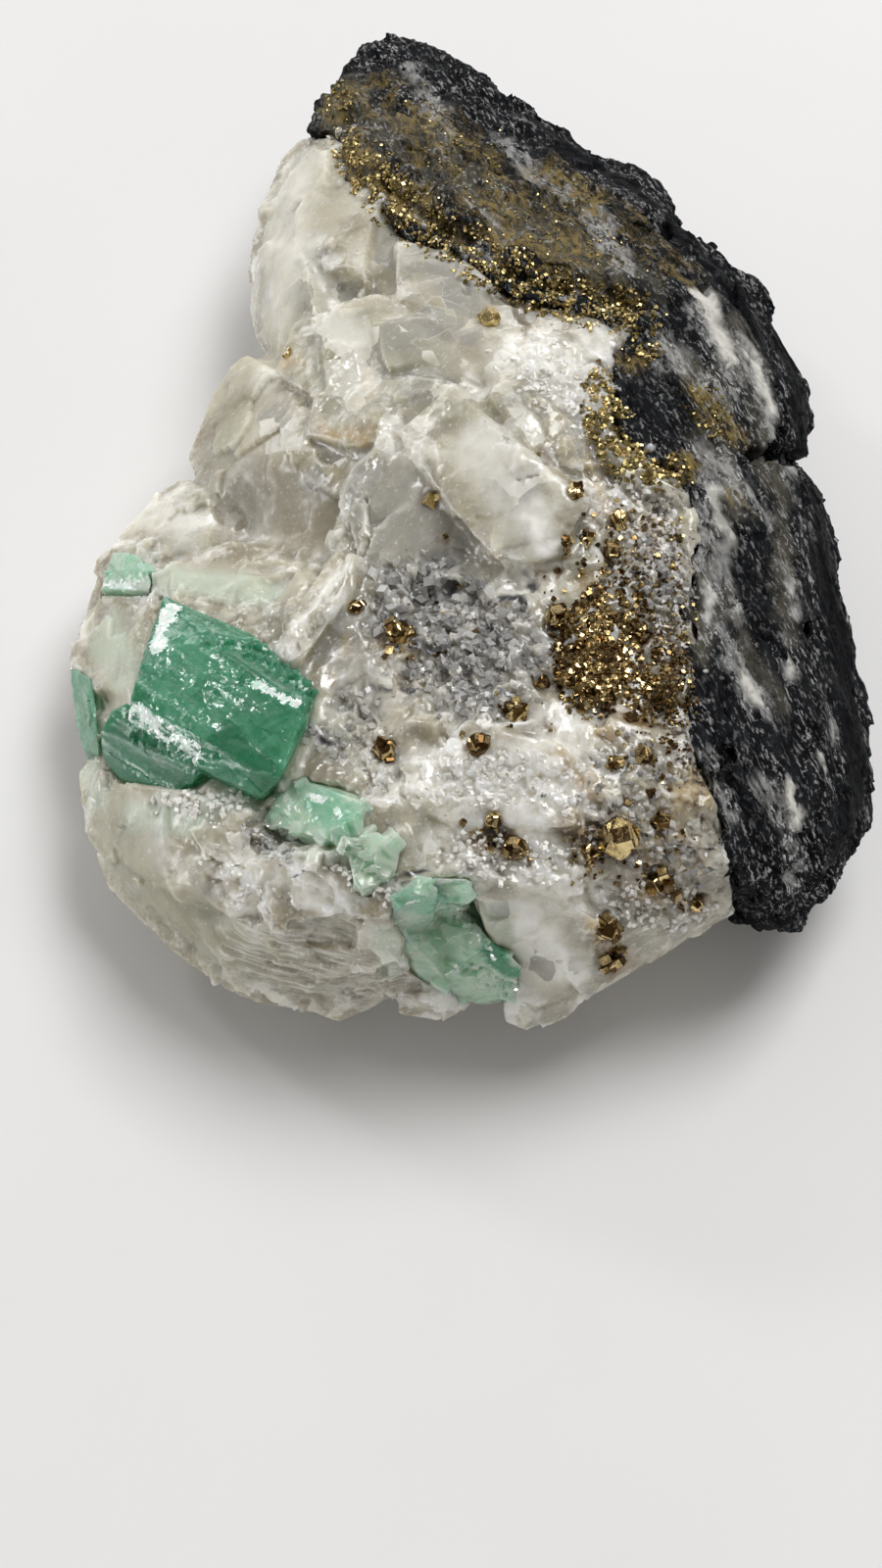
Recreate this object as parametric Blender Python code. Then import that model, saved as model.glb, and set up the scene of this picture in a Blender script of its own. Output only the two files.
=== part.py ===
"""Emerald in matrix: a hand specimen of white calcite on black shale, with emeralds and pyrite.

The stone is laid out as it lies on a table and is seen from the front, from 60 degrees above the
horizon. A place on it is given as (across, up, height): how far right of and above the middle of
that view it is seen, and how high above the table it lies, all in millimetres. `sight` turns such a
place into a point in space. Calcite and shale are built from named convex lumps, joined into one
stone that is then parted along their contact. The crystals sit in pockets cut for them.
"""

import math
import random

import bmesh
import bpy
from mathutils import Matrix, Vector
from mathutils.bvhtree import BVHTree

MM = 0.001

# How the stone is looked at while it is laid out
VIEW_ELEVATION = math.radians(60)
VIEW_DISTANCE = 236.1
VIEW_HEIGHT = 20.0
EYE = Vector((0, -math.cos(VIEW_ELEVATION), math.sin(VIEW_ELEVATION))) * VIEW_DISTANCE
EYE.z += VIEW_HEIGHT

# The stone's middle in that view, and how many small steps a place off its edge is drawn in
VIEW_MIDDLE = Vector((2, 16))
DRAW_IN_STEPS = 12

# The point of the table under the middle of the finished specimen
MIDDLE = Vector((1.85, 29.7, 0))

GAP = 0.3            # room left between two pieces
CHIPS_PER_LUMP = 3
CHIP_DEPTH = 0.35    # how much a broken edge of a lump is taken back
LUMP_DEPTH = 7.0     # how far a lump reaches below its corners
LUMP_INSET = 5.2     # and how much it narrows towards the stone's middle over that depth
RHOMB_ANGLE = math.radians(101.9)
STONE_SHARE = 0.3    # the part of the stone's triangles that is kept
CRUST_DEPTH = 0.8    # how deep a crust is let into the rock

# The flat break that the specimen rests on, as (x, y) in space, and the body of the stone above it
REST_FACE = [(-12, 9), (-7, 2), (4, 0), (13, 4), (18, 16), (17, 33), (9, 44), (-1, 45), (-7, 34), (-11, 22)]
REST_DEPTH = 0.6

CORES = {
    "front": [
        (-20, 12, 8.5), (-20.5, 2, 7), (-18.5, -5, 7), (-14, -10.5, 5.5), (-6, -13, 5.5), (4, -13.5, 6),
        (9, -11.5, 8.5), (18, -7, 9), (23, 0, 9), (23, 19, 10.5), (-14, 0, 13), (-8, -4, 15), (4, -5, 17.5),
        (14, -3, 17), (16, 18, 19), (-6, 18, 16.5), (-14, 12, 12.5),
    ],
    "back": [
        (-11, 27, 10), (-10.5, 38, 9.5), (-5, 45, 11), (3, 43.5, 10.5), (12, 38, 10), (20, 30, 9.5),
        (22.4, 20.5, 11), (-6, 35, 15.5), (4, 36, 17), (14, 27, 19), (-5, 25, 17.5),
    ],
}

# Lumps of the calcite, by their upper corners
CALCITE_LUMPS = {
    "upper lobe": [
        (-8.9, 41.2, 11), (-10.3, 39.5, 10), (-11.2, 36.5, 9), (-12, 34.8, 8.7), (-12.4, 32, 8.5),
        (-7, 41.5, 14), (-5.5, 39, 16.5), (-4, 37.2, 18), (-8.8, 37, 15.8), (-5, 33, 19), (-9.6, 33, 16),
    ],
    "upper lobe knob": [
        (-12.1, 31, 9), (-12.5, 33, 8.8), (-11.2, 34.8, 12.8), (-8.6, 33.6, 17.4), (-8, 30.6, 17.8),
        (-9.8, 28.6, 15), (-11.8, 28.7, 9.6),
    ],
    "upper lobe back knob": [
        (-10.9, 36.8, 9.6), (-10.2, 39.6, 10), (-8.9, 41, 11.3), (-7.2, 40.4, 15.6), (-7.4, 37.4, 17.2),
        (-9.4, 35.8, 15),
    ],
    "glassy face": [
        (-3, 34.9, 19), (0, 34.3, 19.6), (2.2, 33.4, 20.2), (3, 31.4, 21), (0.5, 30.2, 21.3),
        (-2.8, 31, 20.6),
    ],
    "upper slope": [
        (-9.5, 29.4, 16.6), (-5, 31.2, 19.6), (0, 31, 20.8), (4.5, 30.8, 21.1), (6, 28.4, 22.1),
        (2.5, 25.6, 22.9), (-3, 25, 21.2), (-7.8, 24.6, 18.4), (-10.4, 26.2, 15.8),
    ],
    "rhomb block": [
        (-7.6, 28.6, 19), (-5.3, 28.2, 20.4), (-5, 25.6, 20.6), (-7.3, 25, 19.4),
    ],
    "slope step": [
        (-4.6, 29.8, 20.8), (-1, 30, 21.6), (-0.4, 27.2, 22.2), (-3.6, 26.6, 21.7),
    ],
    "middle slope": [
        (-8.2, 24.8, 18.8), (-2.5, 26, 21.6), (1, 25.4, 23), (-2.9, 22.5, 22.2), (-5.4, 21.6, 20.6),
        (-8.4, 22.4, 18.6),
    ],
    "brown rhomb": [
        (2.4, 28.2, 22), (5.8, 28.6, 22.2), (6.2, 26.4, 22.7), (3.4, 26, 22.6), (1, 26.9, 22.5),
    ],
    "sugary plateau": [
        (6, 29.8, 22), (10, 29.9, 21.3), (12, 28.6, 20.9), (11, 25.5, 22.2), (10.6, 22.5, 22.9),
        (9.9, 20, 23.1), (7.8, 20, 23.7), (4.8, 21.8, 24), (3.2, 24.4, 23.8), (6.4, 26.4, 23.5),
    ],
    "ridge slab": [
        (0.7, 25.3, 23.9), (2.6, 23.3, 24.5), (4.7, 21.2, 25), (8, 19, 24.8), (9.5, 18, 24.3),
        (7.8, 14.6, 23.4), (5.6, 14, 23.1), (3.6, 14.4, 23), (2.2, 15.7, 23.2), (1.1, 17.4, 23.4),
        (-0.1, 20, 23.9), (-1.5, 21.8, 23.7), (-2.9, 22.4, 22.9),
    ],
    "slab edge step": [
        (4.7, 21.2, 24.4), (6.2, 21.4, 24.2), (8.2, 19.4, 24.2), (9.6, 18.2, 23.8), (8.6, 16.6, 23.4),
        (6, 19, 24),
    ],
    "left block": [
        (-15.9, 20.8, 9.5), (-15.1, 23, 9.7), (-14.5, 25, 10.2), (-13.6, 26.4, 10.8), (-12.4, 27.5, 11.8),
        (-9.5, 25.4, 16.5), (-8, 23.5, 18.4), (-8.6, 21.5, 18.2), (-12.8, 20.2, 15), (-14.4, 17.8, 11.8),
        (-15.6, 19, 9.9),
    ],
    "shaded wedge": [
        (-12.8, 20, 14.9), (-8.5, 21.4, 18.1), (-5.3, 20.5, 19.4), (-5.9, 19.2, 18.7), (-8.2, 14.5, 14.4),
        (-11.2, 15.3, 13.1), (-12, 18, 14),
    ],
    "grey fan": [
        (-5.4, 20, 20), (-3.5, 21.9, 21.4), (-1.8, 21.8, 22.4), (0, 20, 22.5), (1.2, 17.2, 22.1),
        (2.3, 15.6, 21.7), (0, 14.6, 21.2), (-3, 14.2, 20.6), (-6.4, 13.8, 18.9), (-7.4, 15.4, 18.1),
    ],
    "rod ridge": [
        (-6.9, 14.9, 19.2), (-5.2, 14.2, 20.6), (-5.6, 12.6, 20.4), (-9.1, 7.6, 18.9), (-10.4, 8.2, 17.8),
        (-9.6, 10.6, 18),
    ],
    "lower rod": [
        (-9.2, 13.6, 16.9), (-8.1, 14, 17.8), (-9.6, 11, 17.9), (-10.9, 9.4, 17), (-11.2, 10.6, 16.5),
    ],
    "centre": [
        (-10, 7.5, 17), (-5.5, 13.6, 19.4), (0, 14.8, 20.2), (5, 14.6, 20.8), (8, 15, 22.3), (11, 14, 22),
        (17.5, 12, 20.3), (17.5, 3, 20.2), (17.5, -0.4, 19.5), (10, -0.8, 20.9), (3, -1, 21),
        (-4, -0.6, 19.8), (-8.8, 0.5, 18),
    ],
    "right shelf": [
        (8.5, 19, 23.2), (10.6, 22, 22.6), (16, 22, 21.4), (17.5, 15, 20.9), (15, 11, 21.4), (9.6, 12, 22),
        (7.6, 15, 22.6),
    ],
    "white band": [
        (-2.6, 1, 20.8), (0.5, 2, 21.8), (4, 3.2, 22.4), (8, 2.4, 22.7), (9.6, 0.4, 22.1),
        (8.4, -2.6, 21.2),
        (3.4, -3, 21), (-1.8, -1.6, 20.7),
    ],
    "band shoulder": [
        (8.8, 3.8, 22), (12, 4.4, 21.6), (15.5, 3.2, 20.9), (16.6, -1, 20), (12.5, -2, 20.4),
        (9.4, -0.6, 21.4),
    ],
    "left knob": [
        (-20.6, 15.4, 8.6), (-20.2, 16.1, 8.7), (-19.3, 17.1, 8.9), (-17.5, 18.9, 9.6), (-16.3, 19.3, 10.2),
        (-15.3, 18.9, 11.4), (-14.3, 16.2, 13.5), (-15.5, 15, 13.4), (-18.4, 14.6, 12.2),
    ],
    "green tinted block": [
        (-18.4, 13.4, 13), (-15.8, 13.4, 14.2), (-12.2, 13.4, 15.4), (-10.6, 11.4, 16.4), (-10.6, 8.2, 17),
        (-13, 9.6, 16), (-16.3, 11, 14.8), (-18.4, 12.4, 13.5),
    ],
    "tinted back step": [
        (-18.6, 14.4, 11.8), (-13.4, 15.5, 13.6), (-9.8, 15, 14.9), (-8.8, 13.4, 16), (-13, 12.6, 14.8),
        (-18.4, 12.9, 12.8),
    ],
    "left face": [
        (-22, 12.4, 8), (-21.8, 14.2, 8.2), (-20.4, 15.2, 9.6), (-18.6, 14, 12.4), (-18.2, 9.4, 13.9),
        (-19.8, 5.7, 13), (-22.2, 6, 9.4), (-23.4, 9.3, 7.2), (-23.5, 7.6, 7.1), (-22.9, 11, 7.4),
    ],
    "emerald seat": [
        (-23, 4, 6.8), (-22.6, 2, 6.8), (-20, 0.2, 10.6), (-17.5, -0.6, 12.4), (-19.8, 5.2, 12.4),
        (-15.5, 1, 14.4), (-11.5, -1, 16.4), (-8.7, 1, 17.8), (-8.2, 5.4, 18.2), (-12, 8.8, 16),
        (-18, 9, 13),
    ],
    "lower left shoulder": [
        (-23.1, -0.5, 7), (-22.9, 0.9, 7), (-22.6, -3, 7.1), (-21.9, -4.3, 7.6), (-20, -5, 9.8),
        (-18, -6.2, 11.3),
        (-16.3, -7, 12), (-14.9, -6.2, 13.6), (-13.6, -3.8, 15.2), (-11.6, -2, 16.6), (-15.5, -0.9, 15.2),
        (-18.5, -0.6, 12.8), (-20.6, 0.4, 10.8), (-22.4, 1.8, 7.6),
    ],
    "shoulder boulder": [
        (-16.2, -2.6, 14.8), (-13.8, -2.2, 15.9), (-11.8, -3.2, 16.4), (-12.6, -4.8, 15.6),
        (-14.8, -5.2, 14.4),
    ],
    "lower left base": [
        (-22, -4.4, 6), (-21, -7, 5.6), (-20, -8.1, 5.3), (-17.8, -9.8, 5.2), (-16, -11.5, 5),
        (-15, -12.3, 5),
        (-14, -10.4, 8.2), (-14.5, -7.6, 11.4), (-17, -7, 10.6), (-20, -5.4, 8.8),
    ],
    "bottom mass": [
        (-16, -11.5, 4.9), (-13.5, -13.2, 4.8), (-10, -14, 4.8), (-7, -14.6, 4.9), (-4.6, -14.3, 5.2),
        (-2, -13, 8), (-2.6, -8.8, 15), (-6, -8.4, 15.2), (-12, -8.9, 13), (-15, -9, 9.6),
    ],
    "bottom tongue": [
        (-8, -14.5, 4.9), (-6.5, -15, 4.9), (-4.8, -14.3, 5.4), (-5.2, -12.6, 8.2), (-8.6, -12.8, 7.4),
    ],
    "bottom foot": [
        (-2.6, -14.6, 5), (-0.2, -15.1, 5), (1.5, -14.2, 5.6), (3.2, -13.2, 7.6), (2, -11, 11.4),
        (-2.8, -12.4, 8.8),
    ],
    "white cap": [
        (-14.4, -5.6, 14.2), (-13.6, -5.2, 15.3), (-12.2, -4.8, 16.2), (-11.4, -5.8, 16),
        (-11.8, -7.8, 14.7), (-13, -8.8, 13.2), (-14.8, -7.6, 12.6),
    ],
    "layered block": [
        (-11.6, -4.6, 16.8), (-7, -4.4, 18.5), (-6.3, -5.6, 18.2), (-6.4, -8.2, 16.4), (-8.8, -8.8, 15.4),
        (-11.8, -8.6, 14.4), (-11.9, -6.2, 15.7),
    ],
    "step block": [
        (-6.6, -5.6, 18.2), (-4.4, -6.6, 18.4), (-2.9, -6, 19), (-3.3, -7.4, 18), (-3.4, -8.4, 17),
        (-6.3, -8.3, 16.4),
    ],
    "rounded block": [
        (-5.2, -9, 15.4), (-3.4, -8.6, 16.4), (-2.5, -10.2, 14.6), (-2.8, -11.1, 13), (-4.2, -11.7, 11.6),
        (-5.4, -10.5, 13),
    ],
    "front middle": [
        (-6, -0.6, 19.8), (-2.5, -1, 20.4), (3, -1.4, 21), (9.4, -1.2, 21), (9, -7, 18.4),
        (4, -6.4, 19.5), (1.9, -5.8, 19.5), (-1.9, -6, 19.1), (-3.2, -7.2, 18.2), (-6.8, -4.4, 18.6),
    ],
    "clear block": [
        (2.4, -6.8, 18.8), (5, -6.2, 19.7), (8.3, -7, 18.8), (10, -8.4, 16.6), (9.8, -11, 12.2),
        (9.3, -13.4, 8.2), (8, -14.7, 6.2), (6.5, -15.4, 5.6), (5.3, -15.7, 5.2), (4.2, -15.1, 5.6),
        (4.9, -12, 10.2), (3.4, -10.1, 13.6),
    ],
    "right front": [
        (8.6, -2, 20.8), (13, -1, 20.6), (17.8, -0.6, 19.6), (18.4, -3.6, 18.4), (19.2, -7.5, 12.8),
        (18.8, -8.1, 11.2),
        (16.7, -8.4, 10), (16, -9.3, 9.2), (14, -10, 9), (13, -10.9, 8.6), (12, -11.3, 8.6),
        (10.7, -12.5, 8.1), (9.4, -13.3, 8), (9.4, -10, 13.8),
    ],
}

# Lumps of the shale, by their upper corners
SHALE_LUMPS = {
    "top end": [
        (-4.8, 47.4, 12), (-3.2, 47.8, 12), (-1.5, 47.5, 12), (0, 46.9, 11.6), (2, 45.7, 11.2),
        (4, 44.1, 11),
        (-6, 46.1, 12.6), (-6.4, 44.9, 13), (-7, 44.3, 13.2), (-8, 42.6, 13), (-8.9, 41.2, 12.6),
        (-6, 41.8, 16), (-3, 41, 17.4), (2, 41.5, 16.4),
    ],
    "upper face": [
        (-6.6, 41.2, 15.8), (-3.9, 37.3, 18.5), (0, 34.4, 19.8), (3, 31.9, 21), (6, 31, 21.4),
        (10, 30.2, 21.5),
        (13, 29, 21.2), (15.4, 31, 19.6), (14, 35, 17.2), (10, 38.4, 15.6), (5, 41.4, 15), (0, 43.4, 14.8),
    ],
    "back edge": [
        (3.6, 44.3, 10.8), (6, 43, 10.8), (8, 41.8, 10.8), (9, 40.9, 10.8), (10, 40.1, 10.8), (7, 38, 15.8),
        (2.6, 42, 14.6),
    ],
    "back shoulder": [
        (9.4, 40.2, 10.8), (11, 40, 10.8), (12.8, 39.3, 10.6), (14, 38, 10.6), (14.8, 36.8, 10.6),
        (13.6, 35, 15.4), (10, 37, 15.8),
    ],
    "back right edge": [
        (14.6, 36.6, 10.6), (16, 35.2, 10.8), (17, 34.2, 10.8), (18, 33.5, 10.6), (18.6, 31, 15.4),
        (14.5, 33, 16.6),
    ],
    "hump": [
        (3, 39, 17), (7, 37.4, 17.6), (9.6, 34.4, 18.8), (7, 33, 20), (3, 35, 19.6), (0.8, 37.6, 18.4),
    ],
    "shoulder": [
        (11, 27, 22), (12.6, 29.6, 21.5), (15.6, 31, 19), (18.6, 30.6, 16.2), (21, 27.6, 15.6),
        (21.5, 25, 16),
        (21.4, 22, 16.8),
        (17, 19.6, 21.4), (11.4, 21, 22.4), (10.6, 24, 22.4),
    ],
    "upper rim": [
        (18, 33.4, 10), (20, 32, 9.2), (21, 30, 9.2), (21.7, 28.1, 9.2), (22.8, 26.3, 9.2), (23.3, 25, 9.2),
        (23.5, 23.4, 9.2), (23.4, 21, 9.4), (21.6, 22.4, 16), (21.2, 26, 15.4), (19.2, 31, 14.8),
    ],
    "middle face": [
        (15, 20.4, 21.8), (18, 21, 20.6), (22.6, 20.2, 16), (23, 16, 16), (23.3, 12, 16.4),
        (23.4, 6.6, 16.4),
        (15.2, 14, 21.2), (15.4, 8, 20.8),
    ],
    "middle rim": [
        (22.6, 21, 12), (24, 19.1, 9.2), (24.6, 17.8, 9.2), (25.1, 16.2, 9.2), (25.5, 14, 9.2),
        (25.2, 12, 9.6),
        (23.2, 10, 15.6), (22.8, 18.6, 15.4),
    ],
    "lower face": [
        (15.4, 9, 20.8), (15.2, 5, 20.4), (16, 0, 19.8), (17.6, -3.5, 18.4), (18.8, -6.8, 15.2),
        (20.8, -8.7, 11.6), (24.4, -5.8, 12.4), (25.3, -3, 13.8), (24.7, 1, 15.6), (24.3, 5, 16),
        (23.2, 10, 16),
    ],
    "lower rim": [
        (25.3, 12, 9.4), (26, 10.3, 9.2), (26.2, 8.5, 9), (26.9, 6.5, 8.6), (27.3, 4, 8.4),
        (27.45, 1.6, 8.2),
        (27.45, -0.5, 8), (24.6, 0, 15.2), (23.4, 9, 15.2),
    ],
    "tip": [
        (27.4, 0, 8), (27.3, -2.5, 7.6), (26.7, -3.7, 7.5), (26, -4.6, 7.4), (25.3, -5.8, 7.2),
        (24.4, -6.9, 7.2),
        (23.8, -8.3, 7.2), (23.1, -9.2, 7.3), (22.3, -9.5, 7.4), (21.5, -9.4, 7.6), (21, -9.5, 7.6),
        (20, -9.1, 8), (19.4, -8.4, 9), (21, -7, 13), (24.6, -3, 13.6), (24.8, 1, 14.6), (27.4, 1.4, 8.2),
    ],
    "tongue": [
        (17.6, 2, 20), (19.4, 1, 19.4), (20.6, -4, 16.6), (20, -7.4, 13.8), (18.4, -4.6, 17.6),
    ],
}

# Flat lumps that lie in a stone's own layers: the two ends, the width and how far it stands up
SHALE_LAYERS = [
    ((-4.6, 46), (3.5, 42), 1.6, 0.5), ((-3.6, 43.6), (4.5, 38.6), 1.5, 0.6),
    ((-1, 40.6), (9, 34.2), 1.4, 0.6),
    ((7, 39.8), (13, 36.4), 1.3, 0.6), ((4.5, 36), (13, 31.6), 1.3, 0.5),
    ((13.4, 34.6), (18.6, 29), 1.3, 0.6),
    ((15.5, 30.5), (20, 23), 1.3, 0.5), ((20.3, 29.5), (22.4, 23), 1.0, 0.5),
    ((17.4, 22), (20.4, 12), 1.2, 0.5),
    ((21.6, 19), (22.6, 9), 1.1, 0.5), ((18, 10.5), (19.6, 0.5), 1.1, 0.5), ((20.6, 9), (22, -3), 1.3, 0.6),
    ((23.4, 8.5), (23.4, -3), 1.1, 0.5), ((19.4, -1), (21.6, -7), 1.1, 0.5),
    ((24.6, 14), (25.6, 6), 0.9, 0.4),
]
FRONT_LEDGES = [
    ((-12.6, -9.6), (-5.6, -10.1), 0.8, 0.7), ((-12.4, -10.7), (-4.6, -11), 0.7, 0.7),
    ((-12, -11.6), (-4.2, -11.9), 0.6, 0.7), ((-14, -12.2), (-5, -13), 0.7, 0.6),
    ((1, -13.8), (-3, -13.6), 0.7, 0.5),
]
CALCITE_RIBS = [
    ((-6.2, 17.6), (-4.6, 20.6), 0.6, 0.5), ((-10.6, 7.9), (-8.6, 11.6), 0.5, 0.4),
    ((-7.4, 11.2), (-5.4, 14.2), 0.5, 0.4),
    ((-14.6, 24), (-13, 20.6), 0.8, 0.4), ((-2.6, 33), (1.8, 32), 0.7, 0.4),
    ((4.6, 24.6), (8.6, 22.2), 0.9, 0.4),
]

# Cleavage rhombs grown over the calcite: middle, spread, how many and their edge, from small to large
RHOMB_FIELDS = [
    ((1.2, 8.2), (4.6, 5.2), 18, (0.9, 1.7)),
    ((3.5, 0.2), (5.2, 2.4), 6, (0.9, 1.6)),
    ((7.2, 24.6), (3.2, 3.8), 6, (0.9, 1.7)),
    ((11.5, 16), (3.4, 4.4), 5, (0.7, 1.2)),
    ((12.6, -3.4), (4.2, 3.6), 6, (0.8, 1.4)),
    ((-8.4, 32.6), (3.4, 4.6), 5, (1.4, 2.4)),
    ((-14, -4.4), (6.4, 2.6), 5, (1.2, 2.2)),
    ((-9, -10.4), (5.2, 2.2), 4, (0.9, 1.6)),
    ((-1.4, -4.2), (3.6, 1.2), 3, (0.8, 1.3)),
    ((-18.4, 13.4), (2.6, 3.4), 3, (1.0, 1.8)),
]

# Hollows: the middle, the reach across and up, and the depth
HOLLOWS = [
    ((0.6, 11.2), (3.6, 2.2), 1.3), ((-1, 7.2), (2.4, 1.6), 0.9), ((4.8, 12.9), (1.3, 1.0), 0.7),
    ((1, 12.6), (0.8, 0.8), 1.1), ((-4.4, 10.6), (1.2, 2.2), 0.9), ((-7, -9.6), (1.5, 0.8), 0.9),
    ((-7, 21), (1.2, 1.0), 0.9), ((2.4, 26), (1.2, 0.8), 0.7), ((5.6, 38.8), (0.9, 1.5), 0.8),
    ((12.8, 35.4), (1.1, 0.6), 0.9), ((18.8, 16), (0.9, 0.5), 0.7), ((21.6, 22.2), (0.8, 0.5), 0.7),
    ((-2, -5.7), (0.9, 0.35), 1.0), ((7, 6.2), (1.4, 0.9), 0.7), ((-8.4, 14.2), (0.5, 0.9), 0.8),
]

# Where calcite meets shale in the view, and the far way round the shale
CONTACT = [
    (-8.9, 41.35), (-7, 41.6), (-6.2, 40.6), (-5.6, 39), (-3.9, 37.2), (-2.5, 35.1), (0, 34.2), (2, 33.2),
    (4.5, 30.9), (7.5, 30.6), (12.4, 29.3), (11.3, 27.4), (10.9, 25), (11.3, 22.2), (12.8, 20.9),
    (15.6, 19.6),
    (16.3, 17), (16, 12), (16.5, 8), (15.8, 5), (16.6, 1), (17.9, -1.4), (18.2, -4), (18.8, -7),
    (18.65, -10), (18.4, -20),
]
BEYOND_SHALE = [(60, -20), (60, 80), (-40, 80), (-40, 41.35)]

# The main emerald, a six-sided prism with a stepped second prism grown along its lower left side
MAIN_PRISM = [
    (-17.7, 12, 15.2), (-16.5, 10.9, 16.3), (-18.2, 8.6, 16), (-19.7, 5.5, 15.3), (-14.6, 9, 18.2),
    (-8.7, 5, 20.4), (-10.3, 0.4, 19.1), (-15.4, 3, 17.9), (-19.9, 4.1, 14.4), (-15.5, 1.2, 16.6),
    (-13, 9.5, 16.9), (-12.1, 9.5, 17.2), (-9.2, 7.2, 18.8), (-8, 6, 19.3), (-8.6, 3.6, 19.4),
    (-11.5, -0.9, 17), (-13.2, 0.1, 16.8), (-18.1, 10.7, 14.4),
]
SIDE_PRISM = [
    (-21.7, 3.2, 11.4), (-21, 4.7, 12.2), (-20, 5.1, 13.2), (-21.5, 1.9, 10.8), (-20.4, 0.4, 10.8),
    (-18.1, 0, 12.4), (-17.5, -0.7, 12.6), (-15.8, 0.1, 14.6), (-15.5, 1.6, 16.1), (-14, 2.2, 17),
    (-17, 3.4, 15.4),
]
PRISM_ROOT = 4.5

# The other emeralds, by corners as (across, up, how far above the calcite)
PALE_EMERALDS = {
    "emerald_corner_chip": [[
        (-21.85, 14.7, 1.3), (-20, 14.8, 1.3), (-19.2, 14.4, 1), (-18.5, 12.9, 1), (-18.6, 12.4, 0.6),
        (-21.7, 12.4, 0.9), (-20.6, 13.6, 1.6),
    ]],
    "emerald_pale_upper": [[
        (-10.8, -1, 0.9), (-9.5, 0.4, 0.9), (-6.2, 0, 0.8), (-5, -1.2, 0.6), (-5, -2, 0.5),
        (-6.6, -3.7, 0.6),
        (-8.5, -3, 1.1), (-9, -3.8, 0.7), (-11.4, -2.4, 0.7), (-8.4, -1.2, 1.4),
    ]],
    "emerald_pale_lower": [[
        (-6, -3.5, 0.7), (-4, -3.1, 0.8), (-2.6, -3.9, 0.6), (-2.9, -5.4, 0.5), (-4.5, -6.7, 0.4),
        (-5.6, -6.6, 0.4), (-4.4, -4.4, 1.1),
    ]],
    "emerald_front_group": [
        [(-2.9, -7, 0.7), (-1.8, -6.2, 0.9), (-0.2, -6.6, 1.2), (-0.3, -8.6, 1.2), (-1.6, -9.4, 1),
         (-3.2, -8.6, 0.6)],
        [(-0.8, -6, 0.8), (1.8, -6, 0.7), (1.9, -7.4, 0.8), (0.9, -8.4, 1.2), (-0.6, -7.8, 1.2)],
        [(-0.2, -8.2, 1.1), (1.2, -7.6, 1.2), (2.4, -9.2, 0.9), (3.2, -10.1, 0.6), (1.6, -11.2, 1.6),
         (-0.4, -10.4, 1.4)],
        [(-2.7, -9.2, 0.7), (-1, -8.6, 1.3), (0.4, -10, 1.5), (0, -12, 1), (-1.5, -12, 0.6),
         (-2.3, -10.8, 0.6)],
        [(0.3, -10.2, 1.5), (2.4, -9.6, 1.3), (4.2, -10.8, 0.8), (5.1, -11.7, 0.6), (4.9, -12.6, 0.6),
         (3.8, -14, 0.4), (2, -13.9, 0.6), (0, -12.4, 0.8)],
    ],
}
EDGE_SLIVER = [
    (-23.6, 7.5, 7.4), (-22.3, 6.6, 9.6), (-22.4, 5.5, 9.6), (-22, 3.3, 9.8), (-21.8, 2, 9.6),
    (-22.7, 2.2, 7.4), (-23.25, 4, 7), (-23.2, 5.5, 7.2),
]
CRYSTAL_ROOT = 2.2

# Single pyrite crystals: name, (across, up), the radius and the form
PYRITES = {
    "pyrite_large": ((11.2, -3.4), 1.15, "pyritohedron"),
    "pyrite_large_twin": ((9.25, -4.3), 0.8, "pyritohedron"),
    "pyrite_bright": ((3.1, 29.6), 0.7, "pyritohedron"),
    "pyrite_upper_left": ((-9.7, 27.3), 0.35, "cube"),
    "pyrite_on_fan": ((-0.7, 18), 0.55, "cube"),
    "pyrite_round": ((-5.4, 11.2), 0.48, "pyritohedron"),
    "pyrite_hollow_pair": ((-2.7, 9.6), 0.78, "pyritohedron"),
    "pyrite_left_dark": ((-3.5, 2.1), 0.75, "pyritohedron"),
    "pyrite_middle_dark": ((2.4, 2.5), 0.75, "pyritohedron"),
    "pyrite_ragged": ((4.7, 4.7), 0.75, "cube"),
    "pyrite_grey": ((6.3, 6.4), 0.6, "cube"),
    "pyrite_black_sided": ((7.4, 10.6), 0.82, "pyritohedron"),
    "pyrite_shelf_round": ((11.3, 16.9), 0.62, "pyritohedron"),
    "pyrite_shelf_pair": ((10.9, 14.8), 0.6, "pyritohedron"),
    "pyrite_shelf_left": ((8.1, 15.4), 0.42, "cube"),
    "pyrite_shelf_middle": ((9.25, 15.5), 0.5, "cube"),
    "pyrite_slab_edge": ((8.6, 18.6), 0.45, "cube"),
    "pyrite_front_top": ((3.4, -2.4), 0.55, "pyritohedron"),
    "pyrite_front_cluster": ((4.7, -4.1), 0.78, "pyritohedron"),
    "pyrite_right_upper": ((12.9, 1.8), 0.58, "cube"),
    "pyrite_right_middle": ((11, 1.3), 0.48, "cube"),
    "pyrite_right_lower": ((14, -2.4), 0.6, "pyritohedron"),
    "pyrite_corner": ((13.8, -6.2), 0.68, "cube"),
    "pyrite_edge_upper": ((10.6, -9.1), 0.9, "pyritohedron"),
    "pyrite_edge_lower": ((10.7, -11.3), 0.7, "cube"),
    "pyrite_rim": ((16.3, -7.6), 0.48, "cube"),
}

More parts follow.
